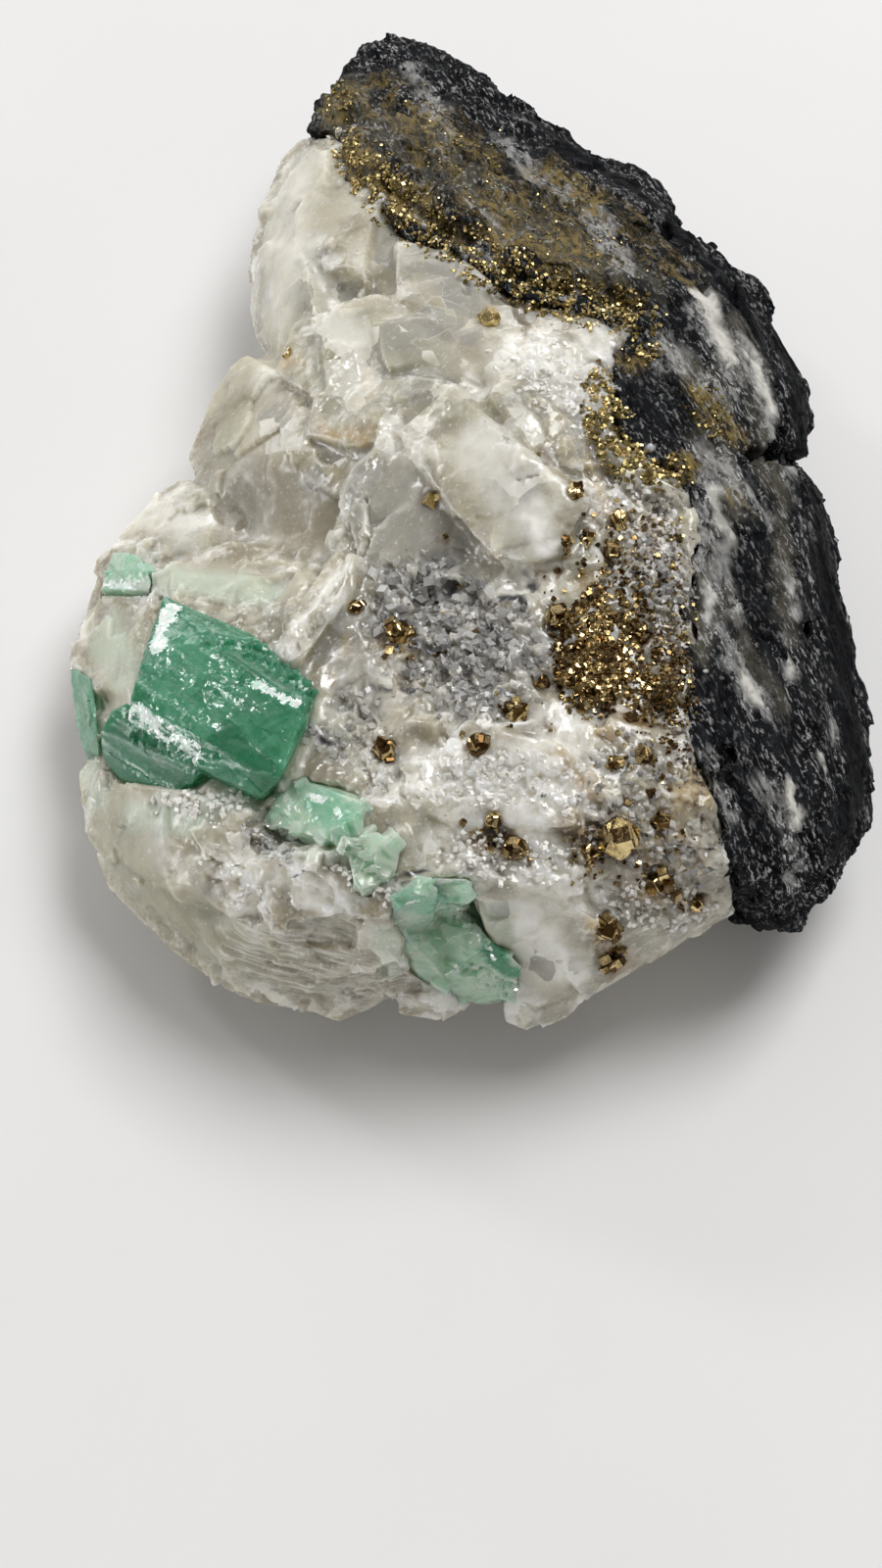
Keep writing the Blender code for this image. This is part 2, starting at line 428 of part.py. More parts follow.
# Pyrite crusts: the line along their middle, half their width and the radius of their nuggets
CRUSTS = {
    "pyrite_crust_tip": ([(-6.2, 44.2), (-6, 42.8)], 0.8, 0.45),
    "pyrite_crust_upper": ([(-4.7, 41), (-3, 38.9), (-0.2, 36.8), (2.2, 35.2)], 1.1, 0.6),
    "pyrite_crust_contact": ([(4.6, 33.2), (7.2, 32.4), (9, 32.2), (12.4, 31.1)], 1.1, 0.6),
    "pyrite_crust_ring": ([(9.7, 25.6), (9.8, 22.8), (11, 20.2), (14.6, 18)], 0.85, 0.55),
    "pyrite_crust_mass": ([(12, 12.6), (10.7, 10), (9.3, 8.2), (9.7, 5.6)], 1.6, 0.75),
    "pyrite_crust_brown": ([(13.6, 8.4), (14, 5.4)], 1.1, 0.6),
}
RING_SIDES = 6
LENGTH_STEP = 2.2
NUGGETS_PER_LENGTH = 3
NUGGET_DRAW_IN = 0.3    # how far a nugget is drawn in from the crust's rim towards its middle


CUBE = [Vector((x, y, z)) for x in (-1, 1) for y in (-1, 1) for z in (-1, 1)]


def clear_scene():
    for thing in list(bpy.data.objects):
        bpy.data.objects.remove(thing)


def sight(across, up, height):
    """The point at this height that is seen at (across, up)."""
    on_view = Vector((across, up * math.sin(VIEW_ELEVATION), VIEW_HEIGHT + up * math.cos(VIEW_ELEVATION)))
    ray = on_view - EYE
    return EYE + ray * ((height - EYE.z) / ray.z)


def hull(points):
    """A closed convex solid round the points."""
    body = bmesh.new()
    for point in points:
        body.verts.new(point)
    bmesh.ops.convex_hull(body, input=body.verts)
    loose = [vert for vert in body.verts if not vert.link_faces]
    bmesh.ops.delete(body, geom=loose, context="VERTS")
    bmesh.ops.recalc_face_normals(body, faces=body.faces)
    return body


def cut_back(body, point, normal):
    """Takes away what lies beyond the plane, and closes the cut."""
    everything = body.verts[:] + body.edges[:] + body.faces[:]
    cut = bmesh.ops.bisect_plane(
        body, geom=everything, dist=1e-4, plane_co=point, plane_no=normal, clear_outer=True)
    edges = [part for part in cut["geom_cut"] if isinstance(part, bmesh.types.BMEdge)]
    bmesh.ops.contextual_create(body, geom=edges)


def chipped(body, chance, cuts):
    """Breaks some edges and corners off a convex solid with flat cuts."""
    for _ in range(cuts):
        normal = Vector((chance.uniform(-1, 1), chance.uniform(-1, 1), chance.uniform(-0.2, 1)))
        normal.normalize()
        reach = max(vert.co.dot(normal) for vert in body.verts)
        depth = CHIP_DEPTH * chance.uniform(0.4, 1.6)
        cut_back(body, normal * (reach - depth), normal)
    return body


def grown(body, amount):
    """A convex solid with each of its faces moved out by the amount."""
    planes = {}
    for face in body.faces:
        normal = face.normal.copy()
        planes[tuple(round(part, 2) for part in normal)] = (face.calc_center_median(), normal)
    low = Vector([min(vert.co[axis] for vert in body.verts) - 2 for axis in range(3)])
    high = Vector([max(vert.co[axis] for vert in body.verts) + 2 for axis in range(3)])
    box = hull([(x, y, z) for x in (low.x, high.x) for y in (low.y, high.y) for z in (low.z, high.z)])
    for point, normal in planes.values():
        cut_back(box, point + normal * amount, normal)
    return box


def rooted(corners, depth, inset, floor):
    """The corners with a lower set that narrows towards the middle of the stone."""
    points = [sight(*corner) for corner in corners]
    lower = []
    for point in points:
        inward = (MIDDLE - point).to_2d()
        inward.normalize()
        sunk = max(point.z - depth, min(floor, point.z - 1))
        lower.append(Vector((point.x + inward.x * inset, point.y + inward.y * inset, sunk)))
    return points + lower


def to_object(body, name):
    """An object in the scene with this solid as its mesh, in millimetres."""
    mesh = bpy.data.meshes.new(name)
    body.to_mesh(mesh)
    body.free()
    thing = bpy.data.objects.new(name, mesh)
    bpy.context.scene.collection.objects.link(thing)
    return thing


def combined(base, tools, operation):
    """Joins the tools to the base, cuts them from it or keeps what both share, one after another.

    The exact solver lost whole lumps and left open edges in chains as long as these, so this is the
    solver that takes and gives closed solids only.
    """
    for tool in tools:
        step = base.modifiers.new(operation.lower(), "BOOLEAN")
        step.operation = operation
        step.solver = "MANIFOLD"
        step.object = tool
    bpy.context.view_layer.update()
    shape = bpy.data.meshes.new_from_object(base.evaluated_get(bpy.context.evaluated_depsgraph_get()))
    base.modifiers.clear()
    base.data = shape
    for tool in tools:
        bpy.data.objects.remove(tool)
    return base


def slimmed(thing, share):
    """Takes the triangles of a solid down to this share of them."""
    fewer = thing.modifiers.new("fewer triangles", "DECIMATE")
    fewer.ratio = share
    return combined(thing, [], "UNION")


def largest_body(thing):
    """Drops the splinters that a cut has left beside the main body."""
    body = bmesh.new()
    body.from_mesh(thing.data)
    groups = []
    waiting = set(body.verts)
    while waiting:
        group = set()
        front = [waiting.pop()]
        while front:
            vert = front.pop()
            group.add(vert)
            for edge in vert.link_edges:
                other = edge.other_vert(vert)
                if other in waiting:
                    waiting.remove(other)
                    front.append(other)
        groups.append(group)
    main_group = max(groups, key=len)
    bmesh.ops.delete(body, geom=[vert for vert in body.verts if vert not in main_group], context="VERTS")
    body.to_mesh(thing.data)
    body.free()
    return thing


def surface_tree(thing):
    body = bmesh.new()
    body.from_mesh(thing.data)
    tree = BVHTree.FromBMesh(body)
    body.free()
    return tree


def on_stone(tree, across, up, rise=0.0):
    """The point of the stone seen at (across, up), or one nearer to the eye by the rise.

    A place just off the stone's edge is drawn in until it meets the stone.
    """
    spot = Vector((across, up))
    for _ in range(DRAW_IN_STEPS):
        ray = (sight(spot.x, spot.y, 0) - EYE).normalized()
        place, normal, _, _ = tree.ray_cast(EYE, ray)
        if place:
            return place - ray * rise, normal
        spot = spot.lerp(VIEW_MIDDLE, 0.02)
    raise ValueError(f"nothing of the stone is seen near {across}, {up}")


def facing(direction, turn):
    """The rotation that turns +Z to the direction and spins it by the turn."""
    return direction.to_track_quat("Z", "Y").to_matrix() @ Matrix.Rotation(turn, 3, "Z")


def stone_body(chance):
    """All lumps of both rocks on the cores, joined into one stone with its flat break underneath."""
    rest = [Vector((x, y, -REST_DEPTH)) for x, y in REST_FACE]
    cores = [hull([sight(*corner) for corner in corners] + rest) for corners in CORES.values()]
    lumps = []
    for corners in list(CALCITE_LUMPS.values()) + list(SHALE_LUMPS.values()):
        body = hull(rooted(corners, LUMP_DEPTH, LUMP_INSET, chance.uniform(1.2, 3.6)))
        lumps.append(to_object(chipped(body, chance, CHIPS_PER_LUMP), "lump"))
    front, back = [to_object(core, "core") for core in cores]
    stone = combined(front, [back] + lumps, "UNION")
    below = hull([(x, y, z) for x in (-60, 60) for y in (-60, 120) for z in (-20, 0)])
    return combined(stone, [to_object(below, "table")], "DIFFERENCE")


def layer(tree, ends, width, rise, chance):
    """A long flat lump along the surface, highest at its middle."""
    (start_across, start_up), (end_across, end_up) = ends
    along = Vector((end_across - start_across, end_up - start_up)).normalized()
    side = Vector((-along.y, along.x)) * width
    points = []
    for share, height, spread in ((0, 0.1, 0.4), (0.3, 1, 1), (0.7, 0.9, 0.9), (1, 0.1, 0.3)):
        across = start_across + (end_across - start_across) * share
        up = start_up + (end_up - start_up) * share
        for way in (-1, 1):
            wide = spread * way * chance.uniform(0.8, 1.2)
            top = rise * height * (1.2 if way > 0 else 0.5)
            points.append(on_stone(tree, across + side.x * wide, up + side.y * wide, top)[0])
            points.append(on_stone(tree, across + side.x * wide, up + side.y * wide, -1.2)[0])
    return hull(points)


def rhomb(place, normal, edge, chance):
    """A cleavage rhomb half sunk in the surface."""
    tilt = math.acos(math.sqrt((1 + 2 * math.cos(RHOMB_ANGLE)) / 3))
    ways = [Vector((math.sin(tilt) * math.cos(turn), math.sin(tilt) * math.sin(turn), math.cos(tilt)))
            for turn in (0, math.radians(120), math.radians(240))]
    sides = [way * edge * chance.uniform(0.7, 1.5) for way in ways]
    lean = Vector((chance.uniform(-0.4, 0.4), chance.uniform(-0.4, 0.4), 0))
    turned = facing(normal + lean, chance.uniform(0, math.tau))
    centre = sum(sides, Vector()) / 2
    corners = [sum((side * bit for side, bit in zip(sides, bits)), Vector()) - centre
               for bits in [(a, b, c) for a in (0, 1) for b in (0, 1) for c in (0, 1)]]
    return hull([place + turned @ corner - normal * edge * 0.25 for corner in corners])


def hollow(tree, middle, reach, depth):
    """A shallow faceted pit."""
    points = []
    for share, level in ((1, 0.6), (0.75, -depth * 0.7), (0.3, -depth)):
        for step in range(7):
            turn = math.tau * step / 7
            across = middle[0] + reach[0] * share * math.cos(turn)
            up = middle[1] + reach[1] * share * math.sin(turn)
            points.append(on_stone(tree, across, up, level)[0])
    return hull(points)


def dressed_stone(stone, chance):
    """Adds the layers, ribs and rhombs, and cuts the hollows."""
    tree = surface_tree(stone)
    pits = [to_object(hollow(tree, *pit), "pit") for pit in HOLLOWS]
    stone = combined(stone, pits, "DIFFERENCE")
    tree = surface_tree(stone)
    bodies = [layer(tree, (start, end), width, rise, chance)
              for start, end, width, rise in SHALE_LAYERS + FRONT_LEDGES + CALCITE_RIBS]
    for middle, spread, count, (small, large) in RHOMB_FIELDS:
        for _ in range(count):
            across = middle[0] + spread[0] * chance.uniform(-1, 1)
            up = middle[1] + spread[1] * chance.uniform(-1, 1)
            place, normal = on_stone(tree, across, up)
            bodies.append(rhomb(place, normal, chance.uniform(small, large), chance))
    stone = combined(stone, [to_object(body, "grown") for body in bodies], "UNION")
    return slimmed(largest_body(stone), STONE_SHARE)


def shale_side(shift):
    """All the room on the shale's side of the contact, with the contact moved by the shift."""
    line = [Vector(point) for point in CONTACT]
    moved = []
    for index, point in enumerate(line):
        before = line[max(index - 1, 0)]
        after = line[min(index + 1, len(line) - 1)]
        first = (point - before).normalized() if index else (after - point).normalized()
        second = (after - point).normalized() if index < len(line) - 1 else first
        normal = Vector((first.y + second.y, -first.x - second.x)).normalized()
        stretch = normal.dot(Vector((second.y, -second.x)))
        moved.append(point + normal * shift / max(stretch, 0.5))
    ring = moved + [Vector(point) for point in BEYOND_SHALE]
    body = bmesh.new()
    near = [body.verts.new(sight(point.x, point.y, 60)) for point in ring]
    far = [body.verts.new(sight(point.x, point.y, -20)) for point in ring]
    body.faces.new(near)
    body.faces.new(far)
    for index in range(len(ring)):
        following = (index + 1) % len(ring)
        body.faces.new((near[index], near[following], far[following], far[index]))
    bmesh.ops.recalc_face_normals(body, faces=body.faces)
    bmesh.ops.triangulate(body, faces=body.faces)
    return body


def parted(stone):
    """The calcite and the shale, either side of the contact."""
    shale = stone.copy()
    shale.data = stone.data.copy()
    bpy.context.scene.collection.objects.link(shale)
    calcite = largest_body(combined(stone, [to_object(shale_side(GAP), "side")], "DIFFERENCE"))
    shale = largest_body(combined(shale, [to_object(shale_side(0), "side")], "INTERSECT"))
    calcite.name = "calcite"
    shale.name = "shale"
    return calcite, shale


def crystal_hull(points, depth):
    """A crystal with these upper corners, and its root in the rock straight below them."""
    centre = sum(points, Vector()) / len(points)
    roots = [centre + (point - centre) * 0.8 - Vector((0, 0, depth)) for point in points]
    return hull(points + roots)


def sit(rock, name, bodies):
    """Sets a crystal, the union of convex bodies, into a pocket of its own in the rock."""
    pockets = [to_object(grown(body, GAP), "pocket") for body in bodies]
    parts = [to_object(body, name) for body in bodies]
    crystal = parts[0]
    if len(parts) > 1:
        combined(crystal, parts[1:], "UNION")
    crystal.name = name
    combined(rock, pockets, "DIFFERENCE")
    return crystal


def pyrite_points(form):
    """Corners of a unit crystal of pyrite."""
    if form == "cube":
        return [corner / math.sqrt(3) * 1.1 for corner in CUBE]
    tall, flat = 1.5, 0.75
    roof = [Vector((0, y * flat, z * tall)) for y in (-1, 1) for z in (-1, 1)]
    roof += [Vector((x * flat, y * tall, 0)) for x in (-1, 1) for y in (-1, 1)]
    roof += [Vector((x * tall, 0, z * flat)) for x in (-1, 1) for z in (-1, 1)]
    return [corner / math.sqrt(3) for corner in CUBE + roof]


def set_pyrites(calcite, tree, chance):
    crystals = []
    pockets = []
    for name, ((across, up), radius, form) in PYRITES.items():
        place, normal = on_stone(tree, across, up)
        centre = place + normal * radius * 0.25
        lean = Matrix.Rotation(chance.uniform(0.2, 0.9), 3, "X")
        turned = facing(normal, chance.uniform(0, math.tau)) @ lean
        corners = [turned @ corner * radius for corner in pyrite_points(form)]
        reach = radius / math.sqrt(3) * (1.5 if form == "pyritohedron" else 1.1)
        box = hull([centre + turned @ corner * reach for corner in CUBE])
        pockets.append(to_object(grown(box, GAP), "pocket"))
        crystals.append(to_object(hull([centre + corner for corner in corners]), name))
    combined(calcite, pockets, "DIFFERENCE")
    return crystals


def along_surface(tree, line, step):
    """Points of the surface at even steps along a line in the view."""
    places = []
    for start, end in zip(line, line[1:]):
        start, end = Vector(start), Vector(end)
        count = max(1, round((end - start).length / step))
        places += [on_stone(tree, *start.lerp(end, index / count))[0] for index in range(count)]
    places.append(on_stone(tree, *line[-1])[0])
    return places


def uneven_ring(place, reach, chance):
    """Corners round a place of the surface, square to the way it is seen."""
    outward = (EYE - place).normalized()
    turned = facing(outward, 0)
    ring = []
    for step in range(RING_SIDES):
        turn = math.tau * (step + chance.uniform(-0.25, 0.25)) / RING_SIDES
        spoke = turned @ Vector((math.cos(turn), math.sin(turn), 0))
        ring.append(place + spoke * reach * chance.uniform(0.7, 1.2))
    return ring


def set_crust(rock, tree, name, line, reach, radius, chance):
    """A skin of small pyrite nuggets on flat lengths let into the rock, each overlapping the next."""
    places = along_surface(tree, line, reach * LENGTH_STEP)
    rings = [uneven_ring(place, reach, chance) for place in places]
    outward = (EYE - places[0]).normalized()
    bodies = []
    pockets = []
    for ring, following in zip(rings, rings[1:]):
        rim = ring + following
        sunk = [corner - outward * CRUST_DEPTH for corner in rim]
        bodies.append(hull(rim + sunk))
        room = hull([corner + outward * CRUST_DEPTH * 2 for corner in rim] + sunk)
        pockets.append(to_object(grown(room, GAP), "pocket"))
        heart = sum(rim, Vector()) / len(rim)
        for _ in range(NUGGETS_PER_LENGTH):
            spot = chance.choice(ring).lerp(chance.choice(following), chance.uniform(0.3, 0.7))
            spot = spot.lerp(heart, NUGGET_DRAW_IN)
            size = radius * chance.uniform(0.6, 1.0)
            lean = Matrix.Rotation(chance.uniform(0, 1.5), 3, "X")
            turned = facing(outward, chance.uniform(0, math.tau)) @ lean
            middle = spot + outward * size * 0.35
            bodies.append(hull([middle + turned @ corner * size for corner in pyrite_points("cube")]))
    parts = [to_object(body, name) for body in bodies]
    crust = combined(parts[0], parts[1:], "UNION")
    crust.name = name
    combined(rock, pockets, "DIFFERENCE")
    return crust


def paint(thing, colour, roughness, metallic=0.0):
    finish = bpy.data.materials.new(thing.name)
    finish.use_nodes = True
    shader = finish.node_tree.nodes["Principled BSDF"]
    shader.inputs["Base Color"].default_value = (*colour, 1)
    shader.inputs["Roughness"].default_value = roughness
    shader.inputs["Metallic"].default_value = metallic
    thing.data.materials.clear()
    thing.data.materials.append(finish)


def settle(thing):
    """Brings a piece from millimetres to metres, with the origin under the specimen's middle."""
    thing.data.transform(Matrix.Scale(MM, 4) @ Matrix.Translation(-MIDDLE))


def main():
    clear_scene()
    chance = random.Random(11)
    stone = dressed_stone(stone_body(chance), chance)
    calcite, shale = parted(stone)
    tree = surface_tree(calcite)
    shale_tree = surface_tree(shale)
    crystals = []
    for name, groups in PALE_EMERALDS.items():
        bodies = [crystal_hull([on_stone(tree, *corner)[0] for corner in corners], CRYSTAL_ROOT)
                  for corners in groups]
        crystals.append((name, bodies))
    sliver = crystal_hull([sight(*corner) for corner in EDGE_SLIVER], CRYSTAL_ROOT)
    crystals.append(("emerald_edge_sliver", [sliver]))
    prisms = [crystal_hull([sight(*corner) for corner in corners], PRISM_ROOT)
              for corners in (MAIN_PRISM, SIDE_PRISM)]
    crystals.append(("emerald_main", prisms))
    emeralds = [sit(calcite, name, bodies) for name, bodies in crystals]
    pyrites = set_pyrites(calcite, tree, chance)
    crusts = []
    for name, (line, reach, radius) in CRUSTS.items():
        on_shale = name.endswith(("tip", "upper", "contact"))
        rock, ground = (shale, shale_tree) if on_shale else (calcite, tree)
        crusts.append(set_crust(rock, ground, name, line, reach, radius, chance))
    paint(calcite, (0.74, 0.71, 0.66), 0.4)
    paint(shale, (0.045, 0.047, 0.052), 0.6)
    for emerald in emeralds:
        pale = (0.16, 0.45, 0.3) if emerald.name == "emerald_main" else (0.35, 0.6, 0.47)
        paint(emerald, pale, 0.2)
    for pyrite in pyrites + crusts:
        paint(pyrite, (0.5, 0.36, 0.14), 0.3, 1.0)
    for thing in [calcite, shale] + emeralds + pyrites + crusts:
        settle(thing)


main()
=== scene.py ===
"""Emerald in matrix: the fine surface, the crystals, the grains and the finishes of the specimen.

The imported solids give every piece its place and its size. Both rocks are rebuilt on them with
cleavage faces, layers and grit, the emeralds with growth lines and chipped edges, and the pyrite as
crystals, crusts and dust. Places on the stone are given as it is seen from the front, 60 degrees above
the horizon: (across, up) is how far right of and above the middle of that view a place is seen, in
millimetres. A zone is a list of bands there, each with its two ends and half its width.
"""

import math
import random

import bmesh
import bpy
import numpy as np
from bpy.props import FloatProperty, FloatVectorProperty, IntProperty, PointerProperty
from bpy.types import Operator, Panel, PropertyGroup
from mathutils import Euler, Matrix, Vector, noise
from mathutils.bvhtree import BVHTree
from mathutils.geometry import convex_hull_2d


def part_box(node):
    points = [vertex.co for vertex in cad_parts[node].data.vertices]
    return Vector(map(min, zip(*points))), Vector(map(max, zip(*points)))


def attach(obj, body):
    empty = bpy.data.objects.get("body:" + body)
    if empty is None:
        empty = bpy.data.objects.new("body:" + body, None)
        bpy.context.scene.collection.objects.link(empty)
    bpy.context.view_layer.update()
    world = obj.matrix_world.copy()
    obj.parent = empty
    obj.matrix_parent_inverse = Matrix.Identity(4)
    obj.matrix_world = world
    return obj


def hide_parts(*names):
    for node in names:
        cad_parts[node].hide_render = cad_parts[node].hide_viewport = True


bl_info = {
    "name": "Emerald in Matrix",
    "version": (1, 0, 0),
    "blender": (4, 5, 0),
    "location": "View3D > Sidebar > Specimen",
    "description": "Gives the solids of an emerald specimen their fine surface, crystals and finishes",
    "category": "Object",
}

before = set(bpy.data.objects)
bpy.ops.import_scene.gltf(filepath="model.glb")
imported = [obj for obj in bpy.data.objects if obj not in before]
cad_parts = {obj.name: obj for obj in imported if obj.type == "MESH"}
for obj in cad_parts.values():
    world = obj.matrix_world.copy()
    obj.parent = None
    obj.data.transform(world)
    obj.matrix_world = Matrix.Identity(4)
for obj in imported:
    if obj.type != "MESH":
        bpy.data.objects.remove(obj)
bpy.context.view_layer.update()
MM = 0.001

# The view that places are given in, which is also the camera's
VIEW_ELEVATION = math.radians(60)
VIEW_DISTANCE = 236.1 * MM
VIEW_CENTRE = Vector((-1.85, -29.7, 20.0)) * MM
VIEW_LINE = Vector((0, -math.cos(VIEW_ELEVATION), math.sin(VIEW_ELEVATION)))
VIEW_UP = Vector((0, math.sin(VIEW_ELEVATION), math.cos(VIEW_ELEVATION)))
EYE = VIEW_CENTRE + VIEW_LINE * VIEW_DISTANCE
CAMERA_LENS = 85.0

# The emerald's long axis, and the direction in which the shale's layers are drawn out
PRISM_AXIS = Vector((0.64, -0.66, 0.39)).normalized()
SHALE_GRAIN = Vector((0.4, -0.82, -0.4)).normalized()

# How steeply calcite's cleavage directions lean
CLEAVAGE_LEAN = math.radians(44.6)

# How far the rocks grow over the crusts, so that the grains sit in them
CRUST_GROWTH = 0.35 * MM

# The filling of the narrow gaps: its mesh, what it closes, how far it stays below, and how much
# deeper it lies under the shale and the emeralds
FILLING_MESH = 0.4 * MM
FILLING_REACH = 1.2 * MM
FILLING_SUNK = 0.3 * MM
FILLING_DEEPER = 1.6 * MM

# Size in millimetres of the vein's blocks that lie side by side
TILE_SIZE = 2.3

# How the calcite is coloured, by zones
CALCITE_ZONES = {
    "grey": [
        ((-3.4, 34), (1.5, 31.6), 1.9), ((-4.6, 18.5), (-0.5, 16), 2.6), ((-1, 15), (1.5, 13.5), 1.6),
        ((-2, 11), (4, 8.5), 3.2), ((-6.5, 9), (-5, 5), 1.8), ((0.5, 5.6), (4, 5.2), 1.6),
        ((3, 22), (6.4, 15.5), 1.4), ((-8.3, 3.4), (-6.4, 2.4), 0.8), ((11, 13), (14, 12), 1.2),
        ((11, 1), (13.4, -6), 1.4), ((13, 18.4), (15.4, 12), 1.0), ((3.4, -3), (2.6, -5), 1.0),
        ((8.4, 19.6), (9.8, 21.6), 0.9),
    ],
    "olive": [
        ((-21, -3), (-15, -10), 3.2), ((-14, -10), (-8, -12), 2.4), ((-20, 12), (-18.6, 8), 1.6),
        ((-13, 24), (-14.6, 19), 2.4), ((-3, 26), (2, 24), 2.0), ((-5, 29), (-1, 27.4), 1.4),
        ((-8, 30), (-6, 24), 1.6),
    ],
    # brown is mostly painted shade, on faces turned from the light and under ledges, over some smoky brown
    # calcite
    "brown": [
        ((-0.8, 20), (1.2, 16.8), 0.6), ((-11.6, 19), (-7.8, 16.6), 2.3), ((-13.6, 26.6), (-13, 21), 0.7),
        ((-15, 20), (-12.6, 19), 0.8), ((2.2, 27.3), (5, 27.3), 1.0), ((1.5, 25.6), (2.6, 25), 0.7),
        ((-5.6, 36), (-3.2, 33.4), 1.0), ((-15, 22), (-12.5, 24.5), 1.2), ((-1.5, 29.6), (1, 28.4), 0.9),
        ((-10, -11.5), (-3, -12.6), 1.6), ((12, -6), (16, -6.5), 1.4), ((-9, 15), (-12.6, 15.2), 0.9),
    ],
    "green": [
        ((-17, 13), (-11, 12), 1.5), ((-21.5, 9.5), (-20, 7), 1.5), ((-14.5, -1.6), (-11, -1.8), 0.9),
        ((-19.4, -2), (-16, -2.4), 1.1), ((-9, -4.6), (-6.5, -4.6), 0.8), ((3.2, -8), (4.4, -9.6), 0.9),
        ((-3.6, -9.6), (-3.2, -12), 0.7), ((-22.6, 1.2), (-21.6, -1), 1.0),
    ],
    "rust": [
        ((-5.2, 24), (-4.5, 26), 0.5), ((-7.5, 22.4), (-5, 22), 0.7), ((8.5, 1.5), (10, -0.5), 0.8),
        ((14.5, -1.5), (16.5, 0), 1.1), ((12, 13), (13.2, 17), 1.2), ((13, -2), (16, -5), 0.9),
        ((12, -6.6), (14.6, -7.4), 0.7), ((10.6, 3.4), (13, 2), 0.6), ((6.6, 2.6), (8.4, 1.6), 0.5),
        ((9, 13), (10.5, 12), 0.8), ((-6, 9.4), (-6.8, 7), 0.35), ((12, 4.6), (15, 6), 1.3),
        ((9, -3), (15, -4), 1.3), ((10, -9), (11.5, -11.5), 0.9), ((9.6, 20.4), (10.4, 17.4), 0.6),
        ((2.6, -3.6), (5.4, -4.4), 0.8), ((-8.6, 27.2), (-10, 26.6), 0.5), ((-3, 9.2), (-2.2, 8.2), 0.7),
    ],
    "white": [
        ((5.5, 27.5), (9, 24), 2.4), ((9.6, 28.4), (11.2, 26.4), 1.2), ((0, 1), (8.5, 0.2), 2.2),
        ((5.5, -2.5), (8, 3.5), 1.7), ((-13.4, -5.4), (-12.4, -7), 1.7), ((6, -5.4), (9.6, -7.4), 1.4),
        ((5.6, -8.4), (8.4, -12), 1.2), ((-10, -5.6), (-6.6, -7.6), 1.1), ((-10, 8.6), (-6.2, 13.8), 0.6),
        ((10, 18.5), (14, 17), 1.2), ((6, 17.4), (6.6, 15.4), 1.1), ((-4.6, -5.4), (-2.4, -6.8), 0.8),
    ],
    # dark is painted shade: a slit at the front, then the cells in the pits of the hollow
    "dark": [
        ((-2.5, -6), (-1.5, -5.4), 0.25), ((0.8, 12.8), (1, 12.4), 0.6), ((5.8, 12.8), (6, 12.6), 0.4),
        ((-1.6, 8.6), (0.6, 8.4), 0.5), ((2.2, 10.2), (3.4, 9.6), 0.45), ((-2.2, 6.2), (-1.2, 5.8), 0.5),
        ((1, 7.2), (2.2, 7), 0.4), ((-7.6, 2.8), (-6.8, 2.5), 0.35), ((3.8, 12), (4.8, 11.6), 0.4),
        ((-0.6, 10.8), (0.4, 11), 0.35), ((-4.2, 6.4), (-3.6, 6), 0.3), ((4.6, 14), (5.4, 13.4), 0.3),
    ],
    "milk": [
        ((-9.5, 38), (-10, 31), 2.8), ((-13, 28), (-11, 26), 1.4), ((2, 21), (5, 17.4), 1.5),
        ((0, -3.6), (2.4, -5.4), 1.2), ((-5, 20.6), (-1, 21.4), 1.2), ((5, 13), (6.4, 12.4), 0.9),
        ((-18.6, 17.2), (-16.4, 16.6), 1.3),
    ],
    "tiled": [
        ((-7.6, 31), (-4.6, 25), 2.2), ((-4, 32), (1, 30), 2.0), ((-3, 29), (3, 27.6), 2.0),
        ((-2, 25.4), (3, 24.4), 1.8), ((-11, 23), (-8.6, 19.4), 1.8), ((3, 22.6), (5, 19), 1.6),
        ((5, -8.6), (7, -12), 1.8), ((-9, 8), (-7, 3), 1.2),
    ],
    "speckled": [
        ((13.4, 18.4), (14.8, 12), 1.4), ((14.8, 12), (15, 4), 1.3), ((14.8, 3), (16.4, 0.4), 0.9),
        ((16.4, -1), (17.8, -7), 0.5), ((12.4, 7), (13.8, 4.4), 1.2), ((12.6, 17), (13, 13), 0.8),
    ],
    "crust": [
        ((9, -3.6), (11.6, -3.6), 1.3), ((10.6, -9), (10.6, -11.6), 0.8), ((3.6, -3.2), (5.2, -4.4), 0.8),
        ((7.2, 10.2), (7.6, 9.6), 0.8),
    ],
}

# Where the vein is splintered
BROKEN_CALCITE = [
    ((0, 1), (8, 0), 2.4), ((-3, 10), (5, 9), 3.2), ((10, 20), (14, 17), 1.6),
    ((5.5, 27.5), (9, 24), 2.4), ((-17, 12.6), (-11, 12), 1.6), ((-10, -6), (-6, -7.4), 1.3),
    ((-14, -6), (-12, -7), 1.6), ((10, -6.4), (16.5, -8), 1.6), ((9, -6), (10.4, -10.6), 1.2),
    ((-5.4, 18.6), (-4.6, 15), 0.8),
]

# Where the vein is smooth
SMOOTH_CALCITE = [
    ((-9, 38), (-10, 28), 3.6), ((-7, 37), (-4, 33), 2.4), ((-3.4, 18), (-1, 16), 2.2),
    ((2, 21), (6, 16), 2.4), ((-13.4, 26), (-12, 20), 3.2), ((5, -9), (7, -12), 2.8),
    ((-20, -3), (-15, -8), 3.2), ((-3, 33), (2, 30), 2.2), ((-3.4, 4), (-6, 8), 1.0),
    ((-21, 9.6), (-19.4, 4), 1.8), ((-16.6, 13.4), (-11, 12.4), 1.5), ((-16, -8.6), (-11, -10.8), 1.8),
    ((-10, 12), (-7, 16), 0.8), ((-12.4, 19), (-8, 16.4), 2.4), ((-6, 29), (3, 27), 2.2),
    ((-18.6, 17), (-16, 15.6), 1.4),
]

# The wall of the notch at the left, where the solid's own facets are worn away
WORN_CALCITE = [((-12, 18.8), (-8.4, 16.6), 2.2)]

# Where the front edge shows the vein's layers
LAYERED_CALCITE = [((-12, -9.6), (-3, -11.6), 2.4), ((-13, -11), (-5, -13.4), 1.4)]

